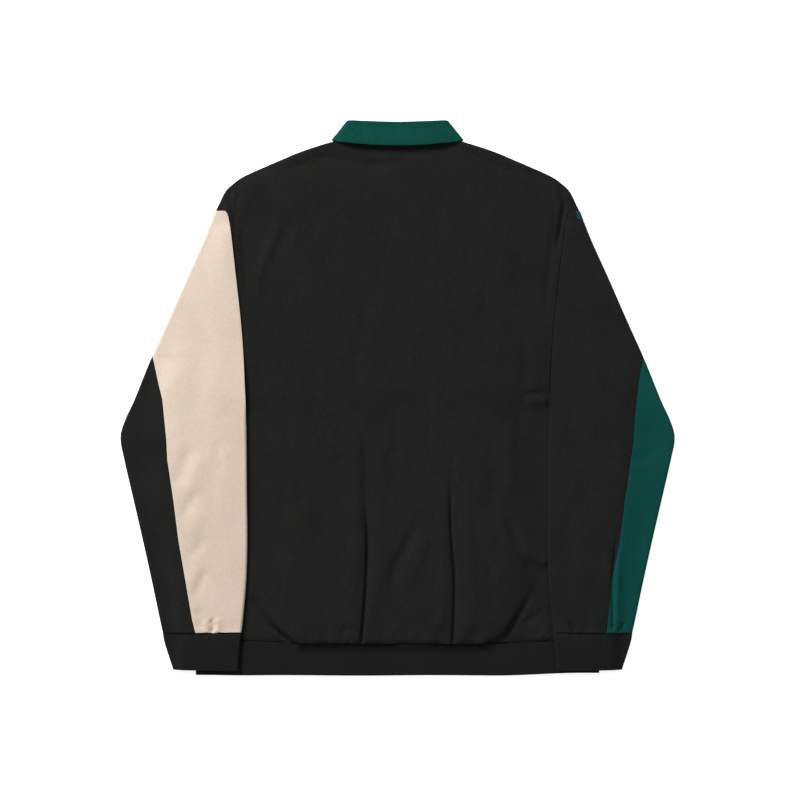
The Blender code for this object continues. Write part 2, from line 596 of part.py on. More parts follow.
clear_scene()
black = material("black_sweat_jersey", BLACK)
cream = material("cream_sweat_jersey", CREAM)
green = material("green_sweat_jersey", GREEN)
band = material("black_band", BLACK)
body_front(black)
body_back(black)
sleeve(-1, cream, black)
sleeve(1, black, green)
hem_band(band)
cuff(-1, band)
cuff(1, band)
collar(material("green_flat_knit_collar", COLLAR_GREEN))
placket(band, material("button_resin", BUTTON))
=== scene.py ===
import math

import bmesh
import bpy
import numpy as np
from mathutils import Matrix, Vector


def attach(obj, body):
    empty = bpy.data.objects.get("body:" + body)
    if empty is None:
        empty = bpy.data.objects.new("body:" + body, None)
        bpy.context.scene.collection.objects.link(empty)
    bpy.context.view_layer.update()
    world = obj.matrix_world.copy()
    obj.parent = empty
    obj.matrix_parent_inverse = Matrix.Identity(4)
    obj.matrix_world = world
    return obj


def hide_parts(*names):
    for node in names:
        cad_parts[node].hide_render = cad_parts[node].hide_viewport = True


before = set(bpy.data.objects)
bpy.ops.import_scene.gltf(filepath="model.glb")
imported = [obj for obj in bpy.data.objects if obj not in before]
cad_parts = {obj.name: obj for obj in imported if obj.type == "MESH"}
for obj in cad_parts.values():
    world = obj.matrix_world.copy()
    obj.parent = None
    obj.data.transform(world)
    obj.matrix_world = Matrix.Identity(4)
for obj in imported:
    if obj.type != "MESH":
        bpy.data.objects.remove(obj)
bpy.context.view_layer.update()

bpy.ops.object.select_all(action="DESELECT")

# The back: one panel of black sweat jersey from the collar seam to the hem band. It is sewn at the
# shoulders and armholes, turns down over its outer edges, and bags a little over the band.
# Sizes from here on are millimetres in the frame's axes.
CLOTH = 1.6
SEAM_GAP = 0.35
HEM_SEAM_Y = -316.5
HEM_HALF = 262.0
SHOULDER_END = (236.5, 243.0)
UNDERARM = (277.0, -8.0)
FOLD_TOP = (197.0, 7.0)
BACK_NECK_Y = 329.5
BACK_REST = 4.1
FULL_HALF = 188.0
BLOUSE_RISE = 5.0
MIDDLE_RISE = 4.1
ROLL_DROP = 3.2
SHOULDER_RISE = 1.8
NECK_DIP = 2.4
SIDE_EDGE = [(262.0, HEM_SEAM_Y + 0.4), (267.0, -240.0), (272.5, -150.0), (276.0, -60.0), UNDERARM]
BACK_ARMHOLE = [UNDERARM, (246.0, -9.0), (217.0, -4.0), FOLD_TOP, (199.5, 58.0), (203.2, 105.0),
                (209.3, 160.0), (215.0, 211.0), (218.4, 232.0), (220.2, 239.6), (223.6, 243.9)]
SHOULDER_EDGE = [SHOULDER_END, (232.5, 251.5), (223.5, 269.5), (212.5, 280.0), (203.5, 286.5),
                 (188.5, 294.0), (152.0, 309.5), (119.6, 322.5), (85.0, 333.0)]
BACK_NECK = [(85.0, 333.0), (70.0, 332.1), (55.0, 331.2), (25.0, 330.0), (0.0, BACK_NECK_Y)]
BLOUSE_EDGE = [(-240, -236), (-197, -258), (-190, -264), (-179, -278), (-160, -300), (-140, -314),
               (-110, -328), (0, -336), (84, -332), (116, -322), (135, -313), (151, -291), (163, -269),
               (177, -249), (188, -238), (240, -226)]
# creases: depth (a ridge where negative), half width, share of the length over which each end
# fades, and the points it runs through
BACK_CREASES = [
    (1.2, 5.0, 0.4, 0.3, [(-43, -20), (-43, -80), (-42, -150), (-40, -200)]),
    (4.2, 2.7, 0.3, 0.02, [(-41, -130), (-39, -170), (-39, -205), (-41, -254), (-46.5, -317)]),
    (1.4, 8.0, 0.5, 0.05, [(-36, -20), (-37, -90), (-34, -170), (-34, -230)]),
    (-1.6, 9.0, 0.5, 0.05, [(-58, -60), (-58, -130), (-56, -200), (-60, -300)]),
    (-1.1, 8.0, 0.5, 0.05, [(-27, -90), (-26, -180), (-28, -250), (-33, -300)]),
    (3.6, 2.7, 0.4, 0.02, [(69, -78), (69, -118), (70, -170), (73, -210), (74.5, -250), (72, -317)]),
    (1.3, 7.0, 0.5, 0.2, [(72, -40), (73, -100), (76, -180), (82, -250)]),
    (-1.3, 8.0, 0.5, 0.05, [(88, -90), (92, -180), (96, -250), (92, -300)]),
    (-1.4, 8.0, 0.5, 0.05, [(54, -90), (55, -180), (58, -250), (56, -300)]),
    (2.9, 7.0, 0.35, 0.4, [(30, -141), (14, -188), (-3, -218), (-8, -254), (-12, -280)]),
    (-1.6, 8.0, 0.4, 0.4, [(46, -150), (32, -196), (18, -232), (10, -270)]),
    (2.8, 6.0, 0.35, 0.1, [(140, -150), (157, -192), (178, -220), (192, -226)]),
    (2.6, 5.0, 0.5, 0.02, [(160, -216), (178, -224), (194, -226)]),
    (-2.0, 6.0, 0.4, 0.02, [(156, -188), (172, -204), (184, -211), (194, -213)]),
    (-0.9, 9.0, 0.35, 0.3, [(128, -180), (150, -222), (178, -246)]),
    (3.6, 3.0, 0.15, 0.1, [(-190, -256), (-184, -265), (-172, -284), (-160, -298), (-138, -315)]),
    (-1.3, 3.6, 0.3, 0.1, [(-192, -266), (-180, -286), (-168, -300), (-152, -313)]),
    (1.6, 2.6, 0.3, 0.1, [(180, -249), (165, -270), (152, -292), (136, -314)]),
    (-1.5, 4.4, 0.3, 0.3, [(-180, -259), (-164, -279), (-150, -293), (-130, -307)]),
    (1.4, 5.0, 0.3, 0.1, [(163, -212), (176, -222), (190, -226)]),
    (2.2, 3.0, 0.4, 0.05, [(158, -295), (172, -288), (184, -280), (195, -271)]),
    (-1.8, 2.2, 0.2, 0.05, [(182, -313), (188, -307), (195, -300)]),
    (-1.5, 1.8, 0.2, 0.05, [(190, -315), (195, -310), (199, -306)]),
    (2.1, 6.0, 0.35, 0.35, [(-125, 312), (-72, 311), (-42, 303.5), (-6, 303.5), (24, 309)]),
    (1.3, 5.0, 0.3, 0.3, [(-159, 292), (-115, 306), (-72, 318)]),
    (1.7, 5.0, 0.3, 0.3, [(70, 326), (96, 316), (123, 303), (170, 291), (206, 279)]),
    (2.4, 3.2, 0.1, 0.3, [(-214.4, 277), (-217.4, 263.3), (-217.7, 255.5), (-215.8, 246.4),
                          (-212.4, 237.3), (-208.5, 212)]),
    (1.2, 2.8, 0.3, 0.4, [(-206.4, 271), (-208.7, 256.8), (-212.6, 247)]),
    (-0.9, 2.6, 0.3, 0.4, [(-210.6, 273), (-213.6, 259), (-215, 248)]),
    (1.5, 4.5, 0.2, 0.6, [(-203, 228), (-202, 205), (-197, 160), (-192, 110)]),
    (-1.8, 7.0, 0.3, 0.5, [(-149, 229), (-166, 196), (-179, 160), (-184, 110)]),
    (-0.9, 6.0, 0.2, 0.5, [(-196, 266), (-199, 250), (-198, 226)]),
    (1.3, 9.0, 0.3, 0.5, [(-130, 240), (-150, 205), (-163, 165)]),
    (2.6, 3.4, 0.1, 0.3, [(209.7, 279.6), (214, 264), (216.4, 254), (214.8, 238.6), (210, 212), (206, 180)]),
    (-0.9, 4.0, 0.2, 0.4, [(203, 275), (208, 262), (210.5, 250), (209, 232)]),
    (1.4, 5.0, 0.2, 0.6, [(202, 228), (200, 190), (193, 140), (190, 90)]),
    (2.6, 3.0, 0.5, 0.02, [(160, 3), (178, 6.5), (197.5, 8)]),
    (-1.6, 5.0, 0.4, 0.1, [(165, -4), (184, -4), (196, -4)]),
    (0.6, 16.0, 0.3, 0.3, [(-180, -22), (-60, -30), (60, -20), (180, -28)]),
    (-0.6, 18.0, 0.3, 0.3, [(-180, 18), (-40, 12), (90, 20), (180, 14)]),
    (0.5, 14.0, 0.3, 0.3, [(-180, -168), (-100, -176), (-20, -170)]),
    (0.9, 9.0, 0.4, 0.4, [(-112, 160), (-108, 90), (-112, 10), (-108, -60)]),
    (0.8, 12.0, 0.4, 0.4, [(104, 240), (112, 120), (106, 0)]),
    (-0.7, 12.0, 0.4, 0.4, [(20, 250), (26, 120), (18, 0)]),
    (0.9, 8.0, 0.3, 0.3, [(-36, 150), (-52, 40), (-44, -50)]),
    (0.9, 8.0, 0.3, 0.3, [(160, 110), (166, 40), (158, -60), (166, -130)]),
    (-0.8, 9.0, 0.3, 0.3, [(176, 100), (180, 30), (178, -50)]),
    (1.3, 10.0, 0.3, 0.3, [(-150, -60), (-144, -120), (-150, -180), (-140, -230)]),
    (-1.2, 12.0, 0.3, 0.3, [(-120, -40), (-112, -100), (-118, -170), (-108, -230)]),
    (1.1, 9.0, 0.3, 0.3, [(118, -20), (126, -80), (120, -140), (126, -180)]),
    (-1.2, 10.0, 0.3, 0.3, [(140, -30), (148, -90), (142, -140)]),
    (1.0, 12.0, 0.4, 0.4, [(-96, -150), (-100, -200), (-92, -250)]),
    (0.9, 7.0, 0.3, 0.3, [(30, 20), (44, -20), (40, -60), (52, -100)]),
    (0.8, 8.0, 0.3, 0.3, [(-8, 6), (2, -40), (-4, -84)]),
    (0.8, 7.0, 0.3, 0.3, [(-150, -140), (-120, -128), (-96, -140)]),
    (0.8, 6.0, 0.3, 0.3, [(-16, -58), (-6, -100), (-12, -140)]),
    (1.4, 4.0, 0.4, 0.1, [(-64, -292), (-70, -304), (-72, -314)]),
    (1.6, 3.6, 0.3, 0.1, [(50, -290), (58, -304), (66, -314)]),
    (-1.2, 4.0, 0.3, 0.1, [(80, -286), (86, -300), (84, -313)]),
    (1.3, 4.0, 0.3, 0.1, [(96, -296), (104, -306), (110, -314)]),
    (1.3, 3.5, 0.3, 0.1, [(2, -300), (-2, -308), (-4, -315)]),
    (1.2, 3.5, 0.3, 0.1, [(24, -302), (28, -310), (27, -316)]),
    (0.9, 5.0, 0.3, 0.1, [(-96, -262), (-92, -290), (-94, -312)]),
    (0.8, 7.0, 0.3, 0.2, [(116, -200), (122, -250), (112, -290)]),
    (-0.8, 7.0, 0.3, 0.2, [(-150, -190), (-140, -240), (-120, -290)]),
]
HEM_PUCKERS = [(-150, 9), (-118, 7), (-92, 11), (-64, 7), (-22, 8), (4, 10), (31, 7), (52, 9),
               (98, 8), (121, 10), (147, 7)]     # middle x, half width


def ease(x):
    x = np.clip(x, 0.0, 1.0)
    return x * x * (3 - 2 * x)


def spread(line, count, bend_weight=0.0):
    """Points along a line at even steps of length, closer together where it bends."""
    step = np.diff(line, axis=0)
    length = np.linalg.norm(step, axis=1)
    heading = step / np.maximum(length, 1e-9)[:, None]
    turn = np.zeros(len(length))
    turn[1:] = np.arccos(np.clip((heading[1:] * heading[:-1]).sum(1), -1, 1))
    run = np.concatenate([[0.0], np.cumsum(length + bend_weight * turn)])
    want = np.linspace(0, run[-1], count)
    return np.stack([np.interp(want, run, line[:, k]) for k in range(line.shape[1])], axis=1)


def smooth_path(points, count):
    """A smooth line through the points, read at count places an even distance apart."""
    pts = np.array(points, float)
    ends = np.vstack([2 * pts[0] - pts[1], pts, 2 * pts[-1] - pts[-2]])
    dense = []
    for k in range(1, len(ends) - 2):
        p0, p1, p2, p3 = ends[k - 1:k + 3]
        for t in np.linspace(0, 1, 16, endpoint=False):
            m1, m2 = (p2 - p0) * 0.5, (p3 - p1) * 0.5
            dense.append((2 * t**3 - 3 * t**2 + 1) * p1 + (t**3 - 2 * t**2 + t) * m1
                         + (-2 * t**3 + 3 * t**2) * p2 + (t**3 - t**2) * m2)
    dense.append(pts[-1])
    return spread(np.array(dense), count)


def joined_path(pieces, count):
    """Several smooth lines end to end, with the corners between them kept."""
    lines = [smooth_path(piece, 60) for piece in pieces]
    return spread(np.vstack([lines[0]] + [line[1:] for line in lines[1:]]), count)


def away_from(x, y, path):
    """Distance of every point to a line of points, and how far along it that is, from 0 to 1."""
    best, where = np.full(x.shape, 1e9), np.zeros(x.shape)
    for k in range(len(path) - 1):
        (ax, ay), (bx, by) = path[k], path[k + 1]
        dx, dy = bx - ax, by - ay
        t = np.clip(((x - ax) * dx + (y - ay) * dy) / (dx * dx + dy * dy), 0, 1)
        d = np.hypot(x - ax - t * dx, y - ay - t * dy)
        near = d < best
        best = np.where(near, d, best)
        where = np.where(near, (k + t) / (len(path) - 1), where)
    return best, where


def creased(x, y, creases):
    """How far the creases lower the cloth at every point."""
    drop = np.zeros(x.shape)
    for depth, half, fade_in, fade_out, path in creases:
        d, along = away_from(x, y, [tuple(p) for p in smooth_path(path, 14)])
        fade = ease(along / fade_in) * ease((1 - along) / fade_out)
        drop += depth * fade * np.exp(-(d / half) ** 2)
    return drop


def over_blouse(x, y):
    """From 0 on the band's side of the bagging cloth's lower edge to 1 on the cloth that bags."""
    edge = smooth_path(BLOUSE_EDGE, 90)
    return ease((y - np.interp(x, edge[:, 0], edge[:, 1])) / (8.0 + 5.0 * ease((x - 90.0) / 60.0)))


def hem_seam_y(x):
    """How far the hem seam sags and wavers from a straight line."""
    return (1.2 - 2.6 * ease((215.0 - abs(x)) / 130.0) + 0.45 * np.sin(x / 17.0)
            + 0.3 * np.sin(x / 6.1 + 1.0))


def back_height(x, y, raised):
    """Outer face of the back before its edges turn down."""
    middle = ease((FULL_HALF - abs(x)) / 58.0)
    low_part = ease((-110.0 - y) / 150.0)
    bags = over_blouse(x, y)
    z = BACK_REST + MIDDLE_RISE * middle + raised * (1 - middle)
    z = z - NECK_DIP * np.exp(-((y - BACK_NECK_Y) / 13.0) ** 2) * ease((84.0 - abs(x)) / 30.0)
    bag_end = np.where(x > 0, FULL_HALF + 6.0, FULL_HALF + 22.0)
    rise = BLOUSE_RISE * (1 - 0.3 * ease((x - 90.0) / 60.0))
    z = z + rise * low_part * bags * ease((bag_end - abs(x)) / 58.0)
    z = z - 2.2 * low_part * (1 - bags) * middle * ease((190.0 - x) / 120.0)
    z = z - creased(x, y, BACK_CREASES)
    near_hem = ease((HEM_SEAM_Y + 26.0 - y) / 24.0)
    for middle_x, half in HEM_PUCKERS:
        z = z - 0.9 * near_hem * np.exp(-((x - middle_x - 0.25 * (y - HEM_SEAM_Y)) / half * 2) ** 2)
    roll = np.clip((HEM_SEAM_Y + 5.0 - y) / 5.0, 0, 1)
    hang = 0.85 + 0.25 * np.sin(x / 33.0 + 2.0) + 0.12 * np.sin(x / 9.0)
    z = z - (1 - np.sqrt(1 - (0.94 * roll) ** 2)) * ROLL_DROP * (0.4 + 0.6 * bags * hang)
    return np.maximum(z, BACK_REST - 0.7)


def turned_edge(x, y, edge, radius=3.2):
    """How far an outer face drops where the panel turns down over its edge."""
    d, _ = away_from(abs(x), y, edge)
    inside = radius - np.minimum(d, radius)
    return radius - np.sqrt(radius * radius - inside * inside)


def patch(side, top, centre, steps_up, steps_out, level_until):
    """Plan of half a panel, as rows from hem to neck, straight from the centre to the side up to
    the step level_until and then more and more like the top edge."""
    u = steps_out[None, :, None]
    share = np.clip((steps_up - level_until) / (1 - level_until), 0, 1)[:, None, None]

    def read_at(path, steps):
        line = spread(np.array(path, float), 900)
        return np.stack([np.interp(steps, np.linspace(0, 1, 900), line[:, k]) for k in (0, 1)], 1)

    side, top = read_at(side, steps_up), read_at(top, steps_out)
    straight = (1 - u) * centre[:, None] + u * side[:, None]
    return straight + share * (top - straight[-1])


def finer(steps, total):
    """About total steps, with every one of the given steps kept."""
    steps = np.asarray(steps, float)
    made = [steps[:1]]
    for low, high in zip(steps, steps[1:]):
        count = max(1, round((high - low) * total))
        made.append(np.linspace(low, high, count + 1)[1:])
    return np.concatenate(made)


def lengths_over(grid):
    """Distance of each point from its row's and its column's first point, in metres."""
    down = np.linalg.norm(np.diff(grid, axis=0), axis=2)
    across = np.linalg.norm(np.diff(grid, axis=1), axis=2)
    down = np.concatenate([np.zeros((1, grid.shape[1])), np.cumsum(down, axis=0)])
    across = np.concatenate([np.zeros((grid.shape[0], 1)), np.cumsum(across, axis=1)], axis=1)
    return across * 0.001, down * 0.001


def wall(name, grids, thickness, look, ring=False, facing=None, soft_edge=0.45):
    """Close grids of outer points into a cloth wall with softly rounded cut edges. Rows and columns
    turn left-handed seen from outside, and the UV map is the cloth's own length and width."""
    bm = bmesh.new()
    uv = bm.loops.layers.uv.new("cloth")
    place = {}
    for grid in grids:
        rows, cols = grid.shape[:2]
        verts = [[bm.verts.new(point * 0.001) for point in row] for row in grid]
        across, down = lengths_over(grid)
        for r in range(rows):
            for c in range(cols):
                place[verts[r][c]] = (across[r][c], down[r][c])
        for r in range(rows - 1):
            for c in range(cols if ring else cols - 1):
                d = (c + 1) % cols
                corners = [verts[r][c], verts[r][d], verts[r + 1][d], verts[r + 1][c]]
                face = bm.faces.new(corners)
                width = across[r][-1] + 0.001 * np.linalg.norm(grid[r][-1] - grid[r][0])
                for k, loop in enumerate(face.loops):
                    a, b = place[corners[k]]
                    loop[uv].uv = (a + width if d == 0 and k in (1, 2) else a, b)
    bmesh.ops.remove_doubles(bm, verts=bm.verts, dist=1e-6)
    bm.normal_update()
    outer = list(bm.faces)
    rim = [edge for edge in bm.edges if edge.is_boundary]
    normals = [v.normal.copy() for v in bm.verts] if facing is None else facing.reshape(-1, 3)
    under = {v: bm.verts.new(v.co - Vector(normal) * thickness * 0.001)
             for v, normal in zip(list(bm.verts), normals)}
    for face in outer:
        corners = list(face.loops)[::-1]
        made = bm.faces.new([under[loop.vert] for loop in corners])
        for loop, old in zip(made.loops, corners):
            loop[uv].uv = old[uv].uv
    for edge in rim:
        loop = edge.link_loops[0]
        a, b = loop.vert, loop.link_loop_next.vert
        made = bm.faces.new([b, a, under[a], under[b]])
        for corner, old in zip(made.loops, (loop.link_loop_next, loop, loop, loop.link_loop_next)):
            corner[uv].uv = old[uv].uv
    bmesh.ops.recalc_face_normals(bm, faces=bm.faces)
    if soft_edge:
        sharp = [edge for edge in bm.edges if edge.calc_face_angle(0.0) > math.radians(50)]
        bmesh.ops.bevel(bm, geom=sharp, offset=soft_edge * 0.001, segments=2, profile=0.5,
                        affect="EDGES", clamp_overlap=True)
    mesh = bpy.data.meshes.new(name)
    bm.to_mesh(mesh)
    bm.free()
    mesh.shade_smooth()
    mesh.materials.append(look)
    piece = bpy.data.objects.new(name, mesh)
    bpy.context.collection.objects.link(piece)
    return piece


def cloth_area(grids):
    """Area of the outer face in square metres, which is what was cut for it."""
    total = 0.0
    for grid in grids:
        a, b = grid[1:, :-1] - grid[:-1, :-1], grid[:-1, 1:] - grid[:-1, :-1]
        c, d = grid[1:, :-1] - grid[1:, 1:], grid[:-1, 1:] - grid[1:, 1:]
        total += np.linalg.norm(np.cross(a, b), axis=2).sum() / 2
        total += np.linalg.norm(np.cross(c, d), axis=2).sum() / 2
    return total * 1e-6


class Tone:
    """A socket of a material's node tree, with sums on it written as plain arithmetic."""

    def __init__(self, tree, socket):
        self.tree, self.socket = tree, socket

    def node(self, kind, settings=None, inputs=None, out=0):
        made = self.tree.nodes.new(kind)
        for key, value in (settings or {}).items():
            if key == "stops":
                while len(made.color_ramp.elements) < len(value):
                    made.color_ramp.elements.new(0.5)
                for stop, (place, colour) in zip(made.color_ramp.elements, value):
                    stop.position, stop.color = place, colour
            else:
                setattr(made, key, value)
        for key, value in (inputs or {}).items():
            if isinstance(value, Tone):
                self.tree.links.new(value.socket, made.inputs[key])
            else:
                made.inputs[key].default_value = value
        return Tone(self.tree, made.outputs[out])

    def maths(self, operation, *values, clamp=False):
        return self.node("ShaderNodeMath", {"operation": operation, "use_clamp": clamp},
                         dict(enumerate(values)))

    def __add__(self, other):
        return self.maths("ADD", self, other)

    def __mul__(self, other):
        return self.maths("MULTIPLY", self, other)

    def __sub__(self, other):
        return self.maths("SUBTRACT", self, other)

    def __rsub__(self, other):
        return self.maths("SUBTRACT", other, self)

    __radd__, __rmul__ = __add__, __mul__

    def mixed(self, low, high):
        """A colour between two, by this value."""
        return self.node("ShaderNodeMix", {"data_type": "RGBA"}, {0: self, 6: low, 7: high}, out=2)


def cloth_material(name, colour, shade, knit=1.0, wale=1.15, course=0.95, pile=0.5, rough=0.92,
                   across=False):
    """Fine knitted cloth: rows of stitches, a fibre nap, and slow mottling of its colour. wale and
    course are the stitch's width and height in mm, and knit is how far the stitches stand out."""
    look = bpy.data.materials.new(name)
    look.use_nodes = True
    tree = look.node_tree
    shader = tree.nodes["Principled BSDF"]
    start = Tone(tree, None)
    uv = start.node("ShaderNodeUVMap", {"uv_map": "cloth"})
    at = start.node("ShaderNodeTexCoord", out=3)
    parts = start.node("ShaderNodeSeparateXYZ", inputs={0: uv})
    along, up = parts, Tone(tree, parts.socket.node.outputs[1])
    if across:
        along, up = up, along
    wander = start.node("ShaderNodeTexNoise", inputs={"Vector": at, "Scale": 60.0, "Detail": 2.0})
    sway = wander * 1.2
    columns = start.maths("SINE", along * (2000 * math.pi / wale) + sway)
    rows = start.maths("SINE", up * (2000 * math.pi / course) + sway)
    stitches = columns * 0.6 + rows * 0.4
    nap = start.node("ShaderNodeTexNoise", inputs={"Vector": at, "Scale": 1400.0, "Detail": 3.0,
                                                   "Roughness": 0.6})
    drawn_out = start.node("ShaderNodeVectorMath", {"operation": "MULTIPLY"},
                           {0: at, 1: (1.2, 0.75, 1.0)})
    mottle = start.node("ShaderNodeTexNoise", inputs={"Vector": drawn_out, "Scale": 30.0,
                                                      "Detail": 4.0, "Roughness": 0.6})
    fibre = start.node("ShaderNodeTexNoise", inputs={"Vector": at, "Scale": 320.0, "Detail": 3.0,
                                                     "Roughness": 0.7})
    tone = (mottle * 0.45 + fibre * 0.75 + nap * 0.35 - 0.275 + stitches * (0.08 * knit))
    tone = tone.node("ShaderNodeMapRange", {"clamp": True}, {0: tone, 1: 0.25, 2: 0.85})
    tree.links.new(tone.mixed((*shade, 1), (*colour, 1)).socket, shader.inputs["Base Color"])
    tree.links.new((mottle * 0.08 + (rough - 0.04)).socket, shader.inputs["Roughness"])
    height = stitches * (0.5 * knit) + nap * pile + fibre * (0.6 * pile)
    bump = start.node("ShaderNodeBump", inputs={"Strength": 0.6, "Distance": 0.00022,
                                                "Height": height})
    tree.links.new(bump.socket, shader.inputs["Normal"])
    shader.inputs["Specular IOR Level"].default_value = 0.05
    return look


BLACK = (0.0148, 0.0148, 0.0144)
BLACK_SHADE = (0.0070, 0.0070, 0.0067)
black_jersey = cloth_material("black_sweat_jersey", BLACK, BLACK_SHADE)


# columns of the back from its middle outwards, closer together where the long creases are:
# from x, to x, how many
COLUMNS = [(0.0, 34.0, 11), (34.0, 50.0, 14), (50.0, 63.0, 5), (63.0, 79.0, 14), (79.0, 256.0, 60),
           (256.0, 270.0, 5)]


def back_grid():
    shoulder = joined_path([SHOULDER_EDGE[:4], SHOULDER_EDGE[3:]], 160)
    armhole = joined_path([BACK_ARMHOLE[:4], BACK_ARMHOLE[3:]], 120)
    side = np.vstack([smooth_path(SIDE_EDGE, 60), armhole[1:], [SHOULDER_END]])
    top = np.vstack([shoulder[:-1], smooth_path(BACK_NECK, 60)])[::-1]
    run = np.concatenate([[0], np.cumsum(np.linalg.norm(np.diff(side, axis=0), axis=1))])
    run /= run[-1]
    low, high = run[59], run[np.argmin(np.linalg.norm(side - FOLD_TOP, axis=1))]
    foot = run[-2]
    steps_out = np.concatenate([np.linspace(a, b, n, endpoint=False) / 270 for a, b, n in COLUMNS])
    steps_out = np.append(steps_out, 1.0)
    edge_out = [1 - 5 / 270, 1 - 3 / 270, 1 - 1.8 / 270, 1 - 0.9 / 270, 1 - 0.3 / 270]
    steps_out = np.sort(np.concatenate([steps_out, edge_out]))
    steps_up = finer([0, 0.006, 0.012, low, high, foot, 1], 176)
    steps_up = np.sort(np.concatenate([steps_up, 1 - np.array([4.4, 2.8, 1.6, 0.8, 0.3]) / 640]))
    centre_y = np.interp(steps_up, [0, low, high, 1], [side[0][1], -34.0, 34.0, BACK_NECK_Y])
    centre = np.stack([centre_y * 0, centre_y], axis=1)
    half = patch(side, top, centre, steps_up, steps_out, high)
    plan = np.concatenate([half[:, :0:-1] * (-1, 1), half], axis=1)
    x, y = plan[:, :, 0], plan[:, :, 1]
    side_edge = [tuple(p) for p in smooth_path(SIDE_EDGE, 30)]
    turned = [tuple(p) for p in shoulder if p[0] > 96.0]
    at_side = turned_edge(x, y, side_edge) * ease((UNDERARM[1] - 4.0 - y) / 26.0) * (abs(x) > 150)
    at_top = turned_edge(x, y, turned) * ease((abs(x) - 96.0) / 16.0) * (y > 240.0)
    sag = hem_seam_y(x) * ease((HEM_SEAM_Y + 40.0 - y) / 40.0)
    from_top, _ = away_from(abs(x), y, turned)
    raised = SHOULDER_RISE * ease((y - 20.0) / 50.0) * ease((from_top - 2.0) / 12.0)
    return np.dstack([x, y + sag, back_height(x, y, raised) - at_side - at_top])


grid = back_grid()
back = wall("back_panel", [grid], CLOTH, black_jersey)
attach(back, "root")
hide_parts("body_back")
cloth_area([grid])

# The front: the same black sweat jersey, hidden below the back. It lies flat on the table, rises
# over the collar's leaves, and is open down its middle behind the placket.
FRONT_INSET = 4.2
PLACKET_HALF = 16.0
PLACKET_FOOT_Y = 112.0
FALL_LIFT = 2.0
FRONT_SEAM_HIGHER = 3.2
FRONT_ARMHOLE = [UNDERARM, (269.0, 25.0), (256.5, 75.0), (245.0, 130.0), (235.0, 190.0),
                 (230.0, 232.0)]
FRONT_NECK = [(85.0, 333.0), (80.5, 314.5), (62.8, 287.8), (36.8, 268.0),
              (PLACKET_HALF + SEAM_GAP, 261.0)]
FALL_REACH = [(222.0, 52.0), (243.0, 72.0), (271.0, 85.0), (306.0, 88.0), (331.5, 82.0)]
FRONT_CREASES = [
    (-1.0, 7.0, 0.4, 0.3, [(150, 40), (110, -40), (96, -140), (104, -230)]),
    (-0.9, 7.0, 0.4, 0.3, [(-160, 60), (-124, -40), (-112, -150), (-120, -250)]),
    (-0.8, 8.0, 0.4, 0.4, [(190, -40), (60, -66), (-60, -60), (-180, -36)]),
    (-0.8, 6.0, 0.4, 0.2, [(40, -180), (30, -240), (34, -300)]),
    (-0.8, 6.0, 0.4, 0.2, [(-30, -190), (-38, -250), (-34, -305)]),
    (-0.8, 6.0, 0.3, 0.5, [(212, 250), (190, 200), (180, 140)]),
    (-0.8, 6.0, 0.3, 0.5, [(-212, 250), (-190, 200), (-180, 140)]),
]


def front_grid():
    shoulder = joined_path([SHOULDER_EDGE[:4], SHOULDER_EDGE[3:]], 80)
    armhole = joined_path([FRONT_ARMHOLE, [FRONT_ARMHOLE[-1], SHOULDER_END]], 60)

    def moved_in(path, amount):
        line = np.array(path, float)
        run = np.gradient(line, axis=0)
        run /= np.linalg.norm(run, axis=1)[:, None]
        return line + amount * np.stack([-run[:, 1], run[:, 0]], axis=1)

    side = moved_in(np.vstack([smooth_path(SIDE_EDGE, 60), armhole[1:]]), FRONT_INSET)
    side[0] = (HEM_HALF - FRONT_INSET, HEM_SEAM_Y + 0.4)
    shoulder = moved_in(shoulder, FRONT_INSET)
    shoulder[0] = side[-1]
    neck = smooth_path(FRONT_NECK, 40)
    neck[0] = shoulder[-1]
    top = np.vstack([shoulder[:-1], neck])[::-1]
    slit_x = FRONT_NECK[-1][0]
    run = np.concatenate([[0], np.cumsum(np.linalg.norm(np.diff(side, axis=0), axis=1))])
    low = run[59] / run[-1]
    slit = low + (1 - low) * 0.4
    steps_up = finer([0, low, slit, 1], 110)
    slit_foot = PLACKET_FOOT_Y - SEAM_GAP
    centre_y = np.interp(steps_up, [0, low, slit, 1],
                         [side[0][1], -10.0, slit_foot, FRONT_NECK[-1][1]])
    centre = np.stack([np.where(steps_up >= slit - 1e-6, slit_x, 0.0), centre_y], axis=1)
    half = patch(side, top, centre, steps_up, np.linspace(0, 1, 60), slit)
    x, y = half[:, :, 0], half[:, :, 1]
    reach = np.array(FALL_REACH)
    over = np.maximum(abs(x) - np.interp(y, reach[:, 0], reach[:, 1]), 215.0 - y)
    lift = FALL_LIFT * ease(1 - (over - 26.0) / 30.0)
    grids = []
    for sign in (1, -1):
        rise = np.clip(-creased(sign * x, y, FRONT_CREASES), 0, 1.0) * ease((y + 300) / 20)
        clear = ease((abs(x) - PLACKET_HALF - 1) / 12) * (y < 215)
        higher = FRONT_SEAM_HIGHER * ease((HEM_SEAM_Y + 40.0 - y) / 40.0)
        whole = np.dstack([sign * x, y + higher, lift + rise * np.where(y > 90, clear, 1.0)])
        grids.append(whole[:, ::-1] if sign > 0 else whole)
    return grids


grids = front_grid()
front = wall("front_panel", grids, CLOTH, black_jersey)
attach(front, "root")
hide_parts("body_front")
cloth_area(grids)

# The sleeves: each is a back and a front panel, joined under the inner fold and along a seam that
# runs down the outer fold and turns onto the upper face below the elbow. They lie on the body's
# sides. One is cream behind and black in front, the other black behind and green in front.
BAND_TOP = 5.6
SLEEVE_STACK = 5.2
TURN_UNDER = 2.0
HELD_UP = 13.0
RAMP = 18.0
SEWN_RISE = 3.0
